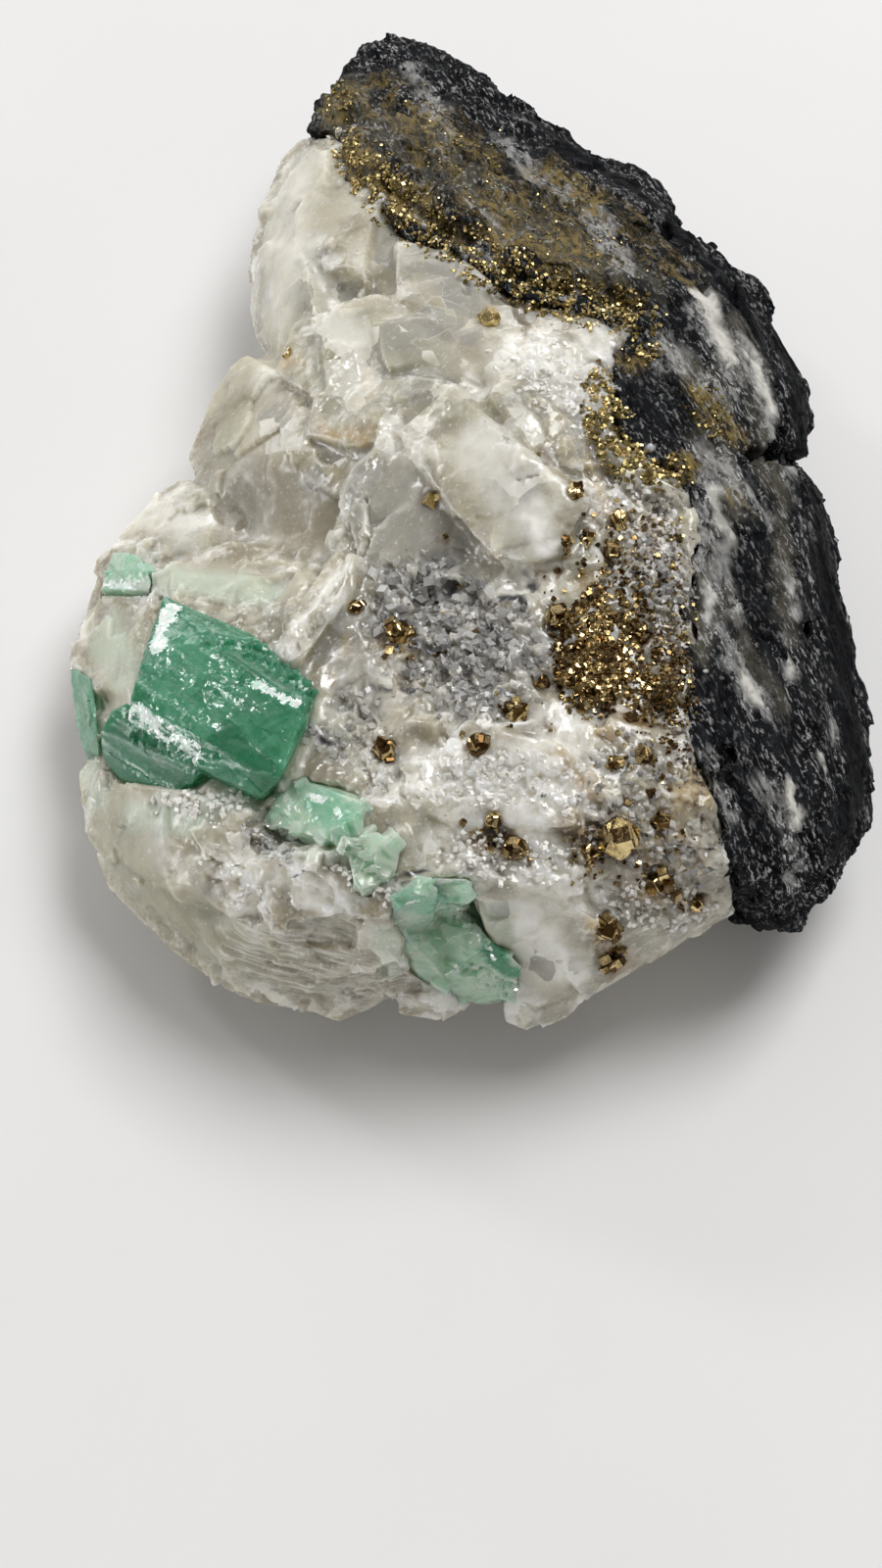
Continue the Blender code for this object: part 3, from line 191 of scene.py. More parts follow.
# The contact of the two rocks
CONTACT_LINE = [
    (-6.8, 41.4), (-5.5, 39.2), (-3.8, 37.7), (-2, 36.4), (0.4, 35), (2.6, 33.6), (5, 32), (8, 30.9),
    (11, 29.8), (11.3, 27.6), (11, 24.5), (11.4, 21.9), (14.4, 20.2), (16, 18.2), (16.2, 14), (15.9, 12),
    (16.3, 9), (15.9, 5), (16.4, 2), (17.9, -2), (18.4, -6), (18.7, -8.4),
]

# The left edge of the slab in the middle, which is ragged
SLAB_EDGE = [(-5.2, 18.4), (-4.8, 17), (-4.2, 15)]

# How the shale is coloured, by zones
SHALE_ZONES = {
    "lace": [
        ((16.4, 30), (18.4, 26), 1.0), ((19.4, 28), (21, 22.6), 1.0), ((21, 22.6), (23, 16.4), 0.6),
        ((21.6, 14.6), (22.6, 11), 0.6), ((14.6, 27.4), (17.6, 25), 1.6),
        ((17.4, 14.4), (18.6, 11.4), 1.0), ((17, 21), (20, 17.6), 1.4), ((16.8, 13), (17.8, 9.6), 0.7),
        ((18.6, 8.6), (20.4, 5), 0.9), ((23.8, 7), (25, 3), 0.8), ((21.6, 9), (22.4, 6.8), 0.5),
        ((20.4, 0), (22.4, -6), 0.9), ((16.6, 19.6), (16.8, 14), 0.8), ((-2, 45.4), (0.4, 41.6), 0.9),
        ((4, 41), (7.6, 37.6), 0.9), ((9.6, 36.4), (12, 32.4), 0.9), ((1.4, 36.6), (4.4, 35), 0.7),
        ((17, 2), (18.6, -2), 0.7), ((-3.4, 37.4), (1.6, 34.6), 0.5), ((2.2, 33.8), (8, 31.3), 0.6),
        ((8, 31), (12, 30), 0.5),
    ],
    "dark": [
        ((12.4, 24.8), (14.2, 22.8), 1.1), ((12.8, 31), (15.6, 27.4), 0.9),
        ((18.6, 14.4), (20.4, 10.4), 1.3), ((18, 16.8), (19.2, 15.4), 0.6),
        ((21.2, 22.8), (22.4, 22), 0.5), ((17.6, 6), (18.6, 2), 0.8), ((19.6, 0.4), (20.6, -4), 0.8),
        ((-3.4, 45.8), (-1.6, 44.4), 0.8), ((4.6, 39.6), (6.4, 36.2), 0.7),
        ((11.2, 36.4), (13.6, 34.6), 0.8), ((0.6, 42.6), (2.6, 40.6), 0.6),
    ],
    "rim": [
        ((15, 35.4), (20, 28.8), 1.2), ((21.4, 28.4), (22.9, 22.6), 1.3), ((23, 21), (24.4, 13), 1.3),
        ((24.2, 14), (25.6, 8), 1.7), ((25.6, 7), (26.4, 0), 1.7), ((26.2, 0), (25.2, -4), 1.2),
        ((6, 42.2), (13, 37.2), 0.9),
    ],
    "dust": [
        ((19.2, 28.7), (21.4, 19), 1.6), ((16.8, 22), (19, 18), 1.3), ((21.6, 17), (22, 9.6), 0.9),
        ((19, 9), (22, 5), 0.9), ((15.4, 27), (17.6, 24.6), 1.3), ((17, 14), (18.4, 11), 1.0),
        ((-6, 43.5), (-5, 39), 2.2), ((-4, 42), (2, 38), 2.4), ((5, 36), (12, 32), 2.2),
        ((-2, 36.8), (6, 32.6), 1.5), ((16.6, 16), (16.6, 8), 0.8),
    ],
    "vein": [
        ((16.6, 31), (18.2, 27.2), 0.9), ((19.8, 27.5), (20.8, 24), 0.55),
        ((17.4, 18.6), (18.2, 15.4), 0.6), ((16.8, 12.8), (17.4, 10.4), 0.3),
        ((22.2, 14.2), (22.5, 11), 0.25), ((19.4, 7), (20.2, 5.4), 0.35), ((22, -0.4), (22.5, -2.4), 0.6),
        ((24.4, 1.8), (24.6, 0.4), 0.25), ((22, 8.6), (22.4, 7.2), 0.25),
    ],
    "gold": [
        ((-6.3, 44), (-6.7, 42.5), 1.1), ((-6, 40.8), (-4, 38), 1.5), ((-3.4, 37.6), (2, 34.8), 1.7),
        ((2, 34.8), (8, 32), 1.7), ((8, 32), (12.5, 30.4), 1.4), ((11.8, 27), (10.8, 23), 1.0),
        ((10.9, 22), (15.3, 20.2), 1.1), ((16, 25), (18.5, 22.4), 1.2), ((18.4, 18.6), (19.4, 17.4), 0.5),
    ],
    "haze": [((-4, 44), (2, 40), 2.4), ((0, 40), (9, 34), 2.8), ((7, 39), (15, 33), 2.2)],
}

# The pyrite crusts that lie on the shale; the others lie on the calcite
SHALE_CRUSTS = ("pyrite_crust_tip", "pyrite_crust_upper", "pyrite_crust_contact")

# Where pyrite grains lie: the band, how many grains to a square millimetre and their radius
GRAIN_BANDS = {
    "pyrite_crust_tip": [((-6.3, 44.2), (-6.6, 42.6), 0.8, 36, 0.13)],
    "pyrite_crust_upper": [
        ((-6.2, 41), (-4.4, 38.2), 1.2, 40, 0.12), ((-4.6, 39.4), (-2.6, 36.4), 1.5, 34, 0.12),
        ((-2.6, 36.6), (2.4, 33.8), 1.5, 34, 0.12),
    ],
    "pyrite_crust_contact": [
        ((2.2, 33.6), (6.4, 31.6), 1.5, 42, 0.12), ((6.4, 31.4), (12.4, 29.9), 1.4, 50, 0.12),
        ((12.4, 30.2), (13.4, 28.4), 0.8, 26, 0.12),
    ],
    "pyrite_crust_ring": [
        ((12, 27.6), (13.6, 27.2), 0.7, 40, 0.12), ((11.3, 24.8), (11.7, 22.8), 0.7, 46, 0.13),
        ((10, 26), (10.1, 22.8), 0.9, 56, 0.13), ((10.1, 22.8), (11.6, 20.6), 1.1, 56, 0.14),
        ((11.6, 20.6), (15, 19.6), 1.1, 50, 0.14),
    ],
    "pyrite_crust_mass": [
        ((12, 12.4), (10.6, 10), 1.9, 34, 0.15), ((10.6, 10), (9.3, 8), 2.2, 50, 0.17),
        ((9.3, 8), (9.9, 5.8), 1.9, 50, 0.15), ((10.4, 9), (9.6, 6.4), 1.6, 60, 0.1),
    ],
    "pyrite_crust_brown": [((13.4, 8.6), (14, 5), 1.9, 24, 0.14), ((13.4, 8.6), (14, 5), 1.9, 24, 0.09)],
}

# Where single grains lie scattered, given in the same way
DUST_BANDS = {
    "pyrite_dust": [
        ((-3, 43), (4, 39.4), 2.0, 3.4, 0.08), ((-1, 39.6), (8, 35), 2.2, 4.2, 0.09),
        ((6, 36), (12, 33), 1.8, 4, 0.09), ((16, 25), (18.4, 22.2), 1.1, 12, 0.12),
        ((13, 33), (14, 30), 1.2, 2.4, 0.09), ((14.6, 17), (15.4, 10), 0.9, 9, 0.13),
    ],
    "pyrite_brown_dust": [
        ((11, 16.5), (13, 14), 2.2, 4.4, 0.16), ((9, 13), (8, 15.6), 0.9, 3, 0.15),
        ((14, 12), (14.4, 16), 1.2, 5, 0.15), ((11, 2), (15, 1), 1.8, 3.4, 0.16),
        ((9, -5), (15, -4.4), 2.0, 2.6, 0.16), ((-2, 8), (3, 8), 2.6, 0.8, 0.12),
        ((2, -3), (5, -4.6), 1.0, 4, 0.15), ((11, -8.6), (11, -11), 0.9, 4, 0.16),
        ((15, -7), (16.4, -8), 0.8, 4, 0.16), ((6.4, 4.4), (3.8, 5), 1.2, 1.6, 0.13),
        ((7, 12), (7.6, 8.6), 0.9, 4, 0.16), ((15.4, 10), (15.6, 4), 0.8, 6, 0.14),
        ((-3.4, 8.8), (-2, 8.6), 0.8, 4, 0.13), ((12, -6.6), (15.6, -7), 1.0, 4, 0.16),
        ((13, 3), (16, 2), 0.8, 6, 0.15),
    ],
}

# Single specks: where they are and their radius
SPECKS = [
    (0.3, 15.8, 0.2), (-3.3, 8.4, 0.35), (-3.6, 8.1, 0.25), (1.4, 3.2, 0.25), (6.2, 21, 0.3),
    (3.1, -4.2, 0.3), (1.4, -2.5, 0.25), (12.1, 4.1, 0.4), (12.9, 4.2, 0.25), (14.9, -7, 0.4),
    (11.3, -10.5, 0.5), (10.4, -11, 0.4), (11.3, 14.8, 0.35), (1.2, 12.6, 0.2), (1.7, 11.8, 0.15),
    (2.2, 9.6, 0.25), (6.6, 13.2, 0.2), (7.4, 13.6, 0.25), (2.6, -3.4, 0.2), (12.4, -5, 0.35),
    (13.4, -0.6, 0.3), (14.6, 0.8, 0.35), (12, -1.2, 0.25), (15.4, -3.6, 0.3), (9.2, -5.8, 0.25),
    (7, 3.4, 0.2),
]

# Grains with more brown than gold on them
BROWN_GRAINS = (
    "pyrite_crust_mass_grains", "pyrite_crust_brown_grains", "pyrite_brown_dust", "pyrite_specks",
)

# Crystals that stand out more or less than most, and by what share of their size
LARGER_PYRITES = {
    "pyrite_large": 0.12,
    "pyrite_edge_upper": 0.02,
    "pyrite_edge_lower": 0.02,
}
USUAL_PYRITE = 0.06

# How bright the faces of a crystal are, from tarnished to fresh
MIXED = (-0.3, 0.0, 0.4, 1.0)
SHINY = (0.1, 0.6, 1.0)
FRESH = (0.8, 1.0)
TARNISHED = (-0.4, -0.3, -0.1, 0.6)
PYRITE_TONES = {
    "pyrite_large": SHINY, "pyrite_bright": FRESH, "pyrite_upper_left": FRESH, "pyrite_on_fan": FRESH,
    "pyrite_edge_upper": TARNISHED, "pyrite_edge_lower": TARNISHED, "pyrite_left_dark": TARNISHED,
    "pyrite_middle_dark": TARNISHED,
}

# Small clear crystals that stand on the calcite, given in the same way as the grains
SUGAR_BANDS = {
    "calcite_grey_sugar": [
        ((-2, 11), (4, 8.5), 3.2, 3.4, 0.3), ((-2, 11), (4, 8.5), 3.2, 3, 0.17),
        ((-1.5, 6.6), (3.6, 5.8), 1.8, 5, 0.22), ((-12, -3.2), (-9.6, -4.4), 0.9, 7, 0.18),
        ((10, -1.6), (16, -5), 2.0, 3.4, 0.2), ((-5.5, 5.4), (-3.6, 0.4), 1.3, 3.4, 0.18),
        ((-8.3, 3.4), (-6.6, 2.4), 0.7, 8, 0.2), ((11, 15.6), (14.4, 11), 2.0, 4, 0.2),
        ((11, 2), (15, 0), 1.6, 3, 0.2),
    ],
    "calcite_white_sugar": [
        ((0, 0.6), (8.4, 0.2), 1.8, 5, 0.17), ((5.4, 27.4), (9.4, 24), 2.1, 3.0, 0.17),
        ((10.4, 18.6), (14, 17), 1.5, 5, 0.17), ((1, -4.4), (8, -5.4), 1.4, 4.6, 0.18),
        ((-18, -1.2), (-12.6, -1.2), 0.8, 6, 0.2), ((-14, -5), (-11.8, -7.4), 1.2, 3, 0.15),
        ((10, -7.4), (16.6, -8.2), 1.3, 4, 0.18), ((-7, -5), (-3, -7.4), 0.7, 5, 0.18),
    ],
}

# Their darkest and lightest colour, and how much light enters them
SUGAR_LOOKS = {
    "calcite_grey_sugar": ((0.3, 0.3, 0.3), (0.85, 0.84, 0.8), 0.35),
    "calcite_white_sugar": ((0.8, 0.78, 0.72), (0.98, 0.96, 0.9), 0.05),
}

# How the emeralds are coloured, by zones; frost is painted glare, white where splintered faces throw the
# light back
EMERALD_ZONES = {
    "frost": [
        ((-19.4, 4.4), (-17.4, 3), 0.75), ((-17.4, 3), (-15.8, 1.9), 0.8),
        ((-8.6, -0.7), (-7.4, -1), 0.25), ((-6.6, -1.6), (-6.2, -2.6), 0.25),
        ((-9.8, -0.8), (-9.2, -1.8), 0.3), ((-2.2, -7.6), (-1, -7.4), 0.2),
        ((2.4, -9.4), (3.4, -11), 0.2), ((-11.8, 6.3), (-9.2, 5.1), 0.3), ((-17.3, 11), (-18, 8.8), 0.75),
        ((-11, -2.2), (-9, -3.7), 0.45), ((-21.4, 12.9), (-19.6, 12.7), 0.35),
    ],
    "pale": [
        ((-17.4, 9), (-14.4, 8.4), 1.6), ((-18.6, 6.6), (-15, 4.4), 0.8),
        ((-14.4, 9.4), (-9.4, 6.4), 0.6), ((-2.4, -7.4), (-0.4, -7.6), 1.2), ((-8, -1), (-6, -2.4), 1.0),
    ],
    # deep is painted shade, darker green on faces turned from the light
    "deep": [
        ((-13.8, 3), (-11, 0.4), 0.9), ((-20.8, 3.2), (-17, 0.6), 0.8), ((1, -6.6), (2.2, -8.6), 0.7),
        ((3, -10.4), (4.6, -12), 0.7), ((-13.4, 8.2), (-9.6, 6.2), 0.6), ((-21, 1.2), (-14, -1.8), 1.3),
    ],
}

# Where the emeralds are splintered
BROKEN_EMERALD = [
    ((-14.6, 9.2), (-12, 8.6), 0.8), ((-12, 8.6), (-8.4, 6.2), 1.0), ((-10.8, -2.4), (-8.9, -3.8), 0.6),
    ((-5.4, -4.4), (-3.4, -6), 0.8), ((0.4, -7), (1.6, -8.4), 0.8), ((2, -12), (4.4, -13), 0.8),
    ((-19.4, 3.2), (-16, 1.6), 0.5),
]

# Small crystals grown onto an emerald: where they are and their radius
EMERALD_GRAINS = {
    "emerald_pale_upper": [
        (-10.2, -0.3, 0.8), (-8.8, 0.2, 0.6), (-7, 0.1, 0.7), (-5.6, -0.4, 0.8), (-4.9, -1.6, 0.8),
        (-5.6, -2.6, 0.9), (-6.4, -3.2, 0.8), (-7.6, -3.3, 0.7), (-9, -3.2, 0.7), (-10.6, -2.2, 0.7),
    ],
    "emerald_pale_lower": [
        (-5.9, -4, 0.8), (-4.6, -3.2, 0.8), (-3.2, -3.6, 0.8), (-2.7, -4.6, 0.6), (-4.9, -6.4, 0.7),
        (-3.6, -5.8, 0.6),
    ],
    "emerald_front_group": [
        (1.2, -7, 1.1), (1.9, -8, 0.9), (2.5, -8.9, 0.9), (0.6, -7.4, 1.0), (-1.2, -6.6, 0.7),
        (-2.8, -7.6, 0.7), (-2.9, -8.8, 0.6), (3.6, -10.4, 0.8), (-1.9, -12, 0.7), (0.2, -12.6, 0.8),
        (0.6, -9.4, 0.8), (-0.4, -10.2, 0.8), (4.4, -13.2, 0.7), (1.4, -13.6, 0.7),
    ],
    "emerald_corner_chip": [(-19, 13.6, 0.7), (-21.2, 13.4, 0.6)],
}

# How milky each emerald is; the main one isn't
PALLOR = {
    "emerald_pale_upper": 0.5,
    "emerald_pale_lower": 0.85,
    "emerald_front_group": 0.6,
    "emerald_corner_chip": 0.4,
    "emerald_edge_sliver": 0.2,
}

# The splinters of an emerald, its most triangles, and the angle from which its edges are sharp
EMERALD_CHIPS = {"cell": 0.55, "slope": 0.6, "step": 0.1, "turn": (1, 2, 0)}
EMERALD_TRIANGLES = 90000
EMERALD_SHARP = math.radians(28)

# A cube from -1 to 1
CUBE_CORNERS = np.array([(x, y, z) for x in (-1, 1) for y in (-1, 1) for z in (-1, 1)], float)
CUBE_FACES = [(0, 1, 3, 2), (4, 6, 7, 5), (0, 4, 5, 1), (2, 3, 7, 6), (0, 2, 6, 4), (1, 5, 7, 3)]

# The table, from its middle to a side in metres
TABLE_HALF = 1.5

# The lights: the setting that holds the power, the width, the height and the place in metres
LIGHTS = {
    "window": ("window", 0.4, 0.4, (0.26, 0.24, 0.73)),
    "left wall": ("walls", 0.5, 0.12, (-0.6, -0.06, 0.06)),
    "back wall": ("walls", 0.9, 0.12, (-0.2, 0.65, 0.16)),
    "front wall": ("front", 0.8, 0.12, (0.1, -0.65, 0.1)),
    "lamp": ("lamp", 0.1, 0.1, (-0.5, 0.42, 0.46)),
}

# Where the sky is brightest
SKY_SIDE = Vector((0.2, 0.55, 0.6)).normalized()


def picked(name):
    """This part's settings in the current scene."""
    return getattr(bpy.context.scene, name)


def nodes_named(start):
    """The CAD nodes with names that start like this."""
    return [node for name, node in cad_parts.items() if name.startswith(start)]


def on_view(points):
    """Where points are seen, as (across, up) in millimetres; takes and gives arrays."""
    seen = np.asarray(points, float) - np.array(VIEW_CENTRE)
    depth = 1 - seen @ np.array(VIEW_LINE) / VIEW_DISTANCE
    return np.stack([seen[:, 0] / depth, (seen @ np.array(VIEW_UP)) / depth], axis=1) / MM


def view_ray(across, up):
    """The direction in which (across, up) lies from the eye."""
    aim = VIEW_CENTRE + Vector((across * MM, 0, 0)) + VIEW_UP * up * MM
    return (aim - EYE).normalized()


def tree_of(*things):
    """What rays are cast on: the surface of these objects."""
    corners = []
    faces = []
    for thing in things:
        start = len(corners)
        corners += [vert.co.copy() for vert in thing.data.vertices]
        faces += [[start + index for index in face.vertices] for face in thing.data.polygons]
    return BVHTree.FromPolygons(corners, faces)


def new_object(name, data):
    """A new object in the scene, with this mesh, light or camera."""
    thing = bpy.data.objects.new(name, data)
    bpy.context.scene.collection.objects.link(thing)
    return thing


def joined(name, bodies):
    """One object from several bmeshes, which it uses up."""
    whole = bmesh.new()
    for body in bodies:
        part = bpy.data.meshes.new("part")
        body.to_mesh(part)
        body.free()
        whole.from_mesh(part)
        bpy.data.meshes.remove(part)
    mesh = bpy.data.meshes.new(name)
    whole.to_mesh(mesh)
    whole.free()
    return new_object(name, mesh)


def node_copy(name, growth=0.0):
    """The solid of a CAD node as a bmesh, with its surface moved out by the growth."""
    body = bmesh.new()
    body.from_mesh(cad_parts[name].data)
    bmesh.ops.remove_doubles(body, verts=body.verts, dist=1e-7)
    body.normal_update()
    if growth:
        shifts = [vert.normal * growth for vert in body.verts]
        for vert, shift in zip(body.verts, shifts):
            vert.co += shift
    return body


def settled(thing):
    """Turns what the modifiers show into the object's own mesh."""
    shape = bpy.data.meshes.new_from_object(thing.evaluated_get(bpy.context.evaluated_depsgraph_get()))
    thing.modifiers.clear()
    old = thing.data
    thing.data = shape
    bpy.data.meshes.remove(old)
    return thing


def evenly_meshed(thing, spacing):
    """Gives the object one closed skin of small even faces."""
    skin = thing.modifiers.new("even faces", "REMESH")
    skin.mode = "VOXEL"
    skin.voxel_size = spacing
    return settled(thing)


def thinned(thing, most_triangles):
    """Takes triangles away where the surface is flat."""
    triangles = sum(len(face.vertices) - 2 for face in thing.data.polygons)
    if triangles > most_triangles:
        fewer = thing.modifiers.new("fewer triangles", "DECIMATE")
        fewer.ratio = most_triangles / triangles
        settled(thing)
    return thing


def points_of(thing):
    """The places and outward directions of a mesh's corners, as arrays."""
    count = len(thing.data.vertices)
    places = np.empty(count * 3)
    thing.data.vertices.foreach_get("co", places)
    outward = np.empty(count * 3)
    thing.data.vertex_normals.foreach_get("vector", outward)
    return places.reshape(-1, 3), outward.reshape(-1, 3)


def moved(thing, places):
    """Puts a mesh's corners in these places."""
    thing.data.vertices.foreach_set("co", places.astype(np.float32).ravel())
    thing.data.update()


def stored(mesh, name, values, domain="POINT"):
    """Keeps a value for every corner or face of a mesh, for its finish to read."""
    layer = mesh.attributes.new(name, "FLOAT", domain)
    layer.data.foreach_set("value", np.asarray(values, np.float32))


def turned_at_random(chance):
    """A turn about all three axes."""
    return Euler([chance.uniform(0, math.tau) for _ in range(3)]).to_matrix()


def noise_at(places, size, shift=0.0):
    """Soft noise from -1 to 1, with lumps of this size in millimetres."""
    scaled = places / (size * MM) + shift
    return np.array([noise.noise(point) for point in scaled.tolist()])


def rough_at(places, size, octaves, shift=0.0):
    """Noise with finer and finer detail on it."""
    scaled = places / (size * MM) + shift
    return np.array([noise.fractal(point, 1.0, 2.0, octaves) for point in scaled.tolist()])


def cleavage_planes(turn):
    """The three directions that calcite splits across, in a grain turned this way."""
    out = math.sin(CLEAVAGE_LEAN)
    planes = []
    for azimuth in (0, 120, 240):
        around = math.radians(azimuth)
        planes.append(Vector((out * math.cos(around), out * math.sin(around), math.cos(CLEAVAGE_LEAN))))
    turned = Euler(turn).to_matrix()
    return [turned @ plane for plane in planes]


def cleaved(places, cell, slope, step, turn=(0.5, 0.3, 0.4)):
    """How far each point moves in or out, in metres, so that the surface breaks into flat faces.

    The stone breaks up into cells with sides along calcite's three cleavage directions. The face of a
    cell leans along one of them and stands a little higher or lower than its neighbours. Cell and step
    are in millimetres. Also gives each point the tone of its cell and how close it is to the cell's
    border, both from 0 to 1.
    """
    leans = {}
    shifts = np.empty(len(places))
    tones = np.empty(len(places))
    borders = np.empty(len(places))
    along = places @ np.array(cleavage_planes(turn)).T / (cell * MM)
    for index, point in enumerate(along.tolist()):
        gaps, centres = noise.voronoi(point, distance_metric="CHEBYCHEV")
        centre = centres[0]
        key = (round(centre.x, 3), round(centre.y, 3), round(centre.z, 3))
        if key not in leans:
            way = int(noise.cell(centre * 31.7) * 3) % 3
            lean = math.copysign(slope, noise.cell(centre * 17.9) - 0.5)
            leans[key] = (way, lean, (noise.cell(centre * 53.1) - 0.5) * 2 * step, noise.cell(centre * 71.3))
        way, lean, height, tones[index] = leans[key]
        shifts[index] = lean * (point[way] - centre[way]) * cell + height
        borders[index] = max(0.0, 1 - (gaps[1] - gaps[0]) / 0.12)
    return shifts * MM, tones, borders


def edges_of(thing):
    """The two corners of every edge, as an array."""
    ends = np.empty(len(thing.data.edges) * 2, dtype=np.int32)
    thing.data.edges.foreach_get("vertices", ends)
    return ends.reshape(-1, 2)


def averaged(values, ends):
    """Each point's value as the mean of its neighbours' values."""
    columns = values.reshape(len(values), -1)
    total = np.zeros(columns.shape)
    for here, there in ((0, 1), (1, 0)):
        for index in range(columns.shape[1]):
            total[:, index] += np.bincount(ends[:, here], columns[ends[:, there], index], len(values))
    count = np.bincount(ends.ravel(), minlength=len(values)).clip(1)
    return (total / count[:, None]).reshape(values.shape)


def relaxed(thing, share, rounds):
    """Wears down the relief where the share is high, as on water-worn or waxy stone."""
    places, _ = points_of(thing)
    ends = edges_of(thing)
    for _ in range(rounds):
        places += (averaged(places, ends) - places) * share[:, None]
    moved(thing, places)


def ridges(thing, rounds=2):
    """How much each point stands out from the points round it: above 0 on edges, below in corners."""
    places, outward = points_of(thing)
    ends = edges_of(thing)
    bend = ((places - averaged(places, ends)) * outward).sum(axis=1) / (0.05 * MM)
    for _ in range(rounds):
        bend = (bend + averaged(bend, ends)) / 2
    return np.clip(bend, -1, 1)


def place_in_view(tree, across, up):
    """The point of the surface seen at (across, up) and its outward direction, or None."""
    place, normal, _, _ = tree.ray_cast(EYE, view_ray(across, up))
    return (place, normal) if place else None


def zone_share(places, tree, bands):
    """How much each point lies in a zone, from 0 to 1 with soft rims."""
    share = np.zeros(len(places))
    for start, end, width in bands:
        ends = [place_in_view(tree, *start), place_in_view(tree, *end)]
        ends = [np.array(found[0]) for found in ends if found]
        if not ends:
            continue
        first, last = ends[0], ends[-1]
        along = last - first
        squared = max(along @ along, 1e-12)
        where = np.clip((places - first) @ along / squared, 0, 1)
        distance = np.linalg.norm(places - first - np.outer(where, along), axis=1) / (width * MM)
        share = np.maximum(share, np.clip((1.35 - distance) / 0.7, 0, 1))
    return share


def mark_zones(thing, tree, zones):
    """Stores how much each point lies in each zone, with ragged borders."""
    places, _ = points_of(thing)
    ragged = places + np.stack([noise_at(places, 1.3, shift) for shift in (0, 40, 80)], axis=1) * 0.7 * MM
    for name, bands in zones.items():
        stored(thing.data, name, zone_share(ragged, tree, bands))


def pocket_plug(tree, name):
    """A short plug that fills the pocket round a small crystal, up to the level of the stone round it."""
    low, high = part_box(name)
    centre = (low + high) / 2
    across, up = on_view([centre])[0]
    reach = (high - low).length / 2 / MM
    found = []
    for step in range(10):
        turn = math.tau * step / 10
        spot = place_in_view(tree, across + reach * 1.7 * math.cos(turn), up + reach * 1.7 * math.sin(turn))
        if spot and (spot[0] - centre).length < 4 * reach * MM:
            found.append(spot)
    level = sum((place for place, _ in found), Vector()) / len(found)
    outward = sum((normal for _, normal in found), Vector()).normalized()
    body = bmesh.new()
    depth = 2.2 * reach * MM
    turned = outward.to_track_quat("Z", "Y").to_matrix().to_4x4()
    bmesh.ops.create_cone(
        body, cap_ends=True, segments=12, radius1=reach * 1.3 * MM, radius2=reach * 1.5 * MM, depth=depth,
        matrix=Matrix.Translation(level - outward * depth / 2) @ turned)
    return body


def filled_hollows():
    """What fills the holes and gaps of the whole specimen that are narrower than twice the reach.

    The solids are thickened, which closes the gaps, and drawn back by as much and a little more, so
    that the filling ends below the surface, and deeper still under the shale and the emeralds.
    """
    whole = joined("filling", [node_copy(name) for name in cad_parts])
    for step in (FILLING_REACH, -FILLING_REACH - FILLING_SUNK):
        skin = whole.modifiers.new("skin", "REMESH")
        skin.mode = "VOXEL"
        skin.voxel_size = FILLING_MESH
        shift = whole.modifiers.new("shift", "DISPLACE")
        shift.mid_level = 0
        shift.strength = step
    evenly_meshed(whole, FILLING_MESH)
    places, outward = points_of(whole)
    in_vein = []
    in_rest = []
    for name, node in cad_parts.items():
        is_vein = name.startswith(("calcite", "pyrite")) and name not in SHALE_CRUSTS
        (in_vein if is_vein else in_rest).append(node)
    vein = tree_of(*in_vein)
    rest = tree_of(*in_rest)
    deeper = []
    for place in places.tolist():
        nearer = vein.find_nearest(place)[3] - rest.find_nearest(place)[3]
        deeper.append(min(1.0, max(0.0, nearer / MM)))
    moved(whole, places - outward * np.array(deeper)[:, None] * FILLING_DEEPER)
    body = bmesh.new()
    body.from_mesh(whole.data)
    bpy.data.objects.remove(whole)
    return body


def crystals_seen():
    """Where the single pyrite crystals are seen, and how far their rusty rims reach in millimetres."""
    seen = []
    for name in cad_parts:
        if name.startswith("pyrite") and "crust" not in name:
            low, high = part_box(name)
            across, up = on_view([(low + high) / 2])[0]
            seen.append(((across, up), (high - low).length / MM * 0.32 + 0.2))
    return seen + [((across, up), radius + 0.25) for across, up, radius in SPECKS]


def lump(place, outward, size, chance, sunk=0.55):
    """A blocky grain, turned at random, let into the surface."""
    body = bmesh.new()
    turned = turned_at_random(chance).to_4x4()
    stretch = Matrix.Diagonal((chance.uniform(0.8, 1.5), 1, chance.uniform(0.7, 1.1), 1))
    seat = Matrix.Translation(place - outward * size * sunk)
    bmesh.ops.create_cube(body, size=size * 1.6, matrix=seat @ turned @ stretch)
    return body


def lumps_along(tree, line, spacing, radius, chance, spread=0.5):
    """Grains along a line of places, so that two pieces grow over and into each other."""
    lumps = []
    for start, end in zip(line, line[1:]):
        start, end = Vector(start), Vector(end)
        count = max(1, round((end - start).length / spacing))
        for step in range(count):
            spot = start.lerp(end, (step + chance.random()) / count)
            spot += Vector((chance.uniform(-spread, spread), chance.uniform(-spread, spread)))
            found = place_in_view(tree, spot.x, spot.y)
            if found:
                lumps.append(lump(*found, radius * chance.uniform(0.5, 1.2) * MM, chance))
    return lumps


def seen_outline(name, outside):
    """The outline of a CAD node as it is seen, moved out by some millimetres, as a closed line."""
    spots = on_view([vert.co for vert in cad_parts[name].data.vertices])
    ring = [Vector(spots[index]) for index in convex_hull_2d([tuple(spot) for spot in spots])]
    middle = sum(ring, Vector((0, 0))) / len(ring)
    ring = [spot + (spot - middle).normalized() * outside for spot in ring]
    return ring + ring[:1]


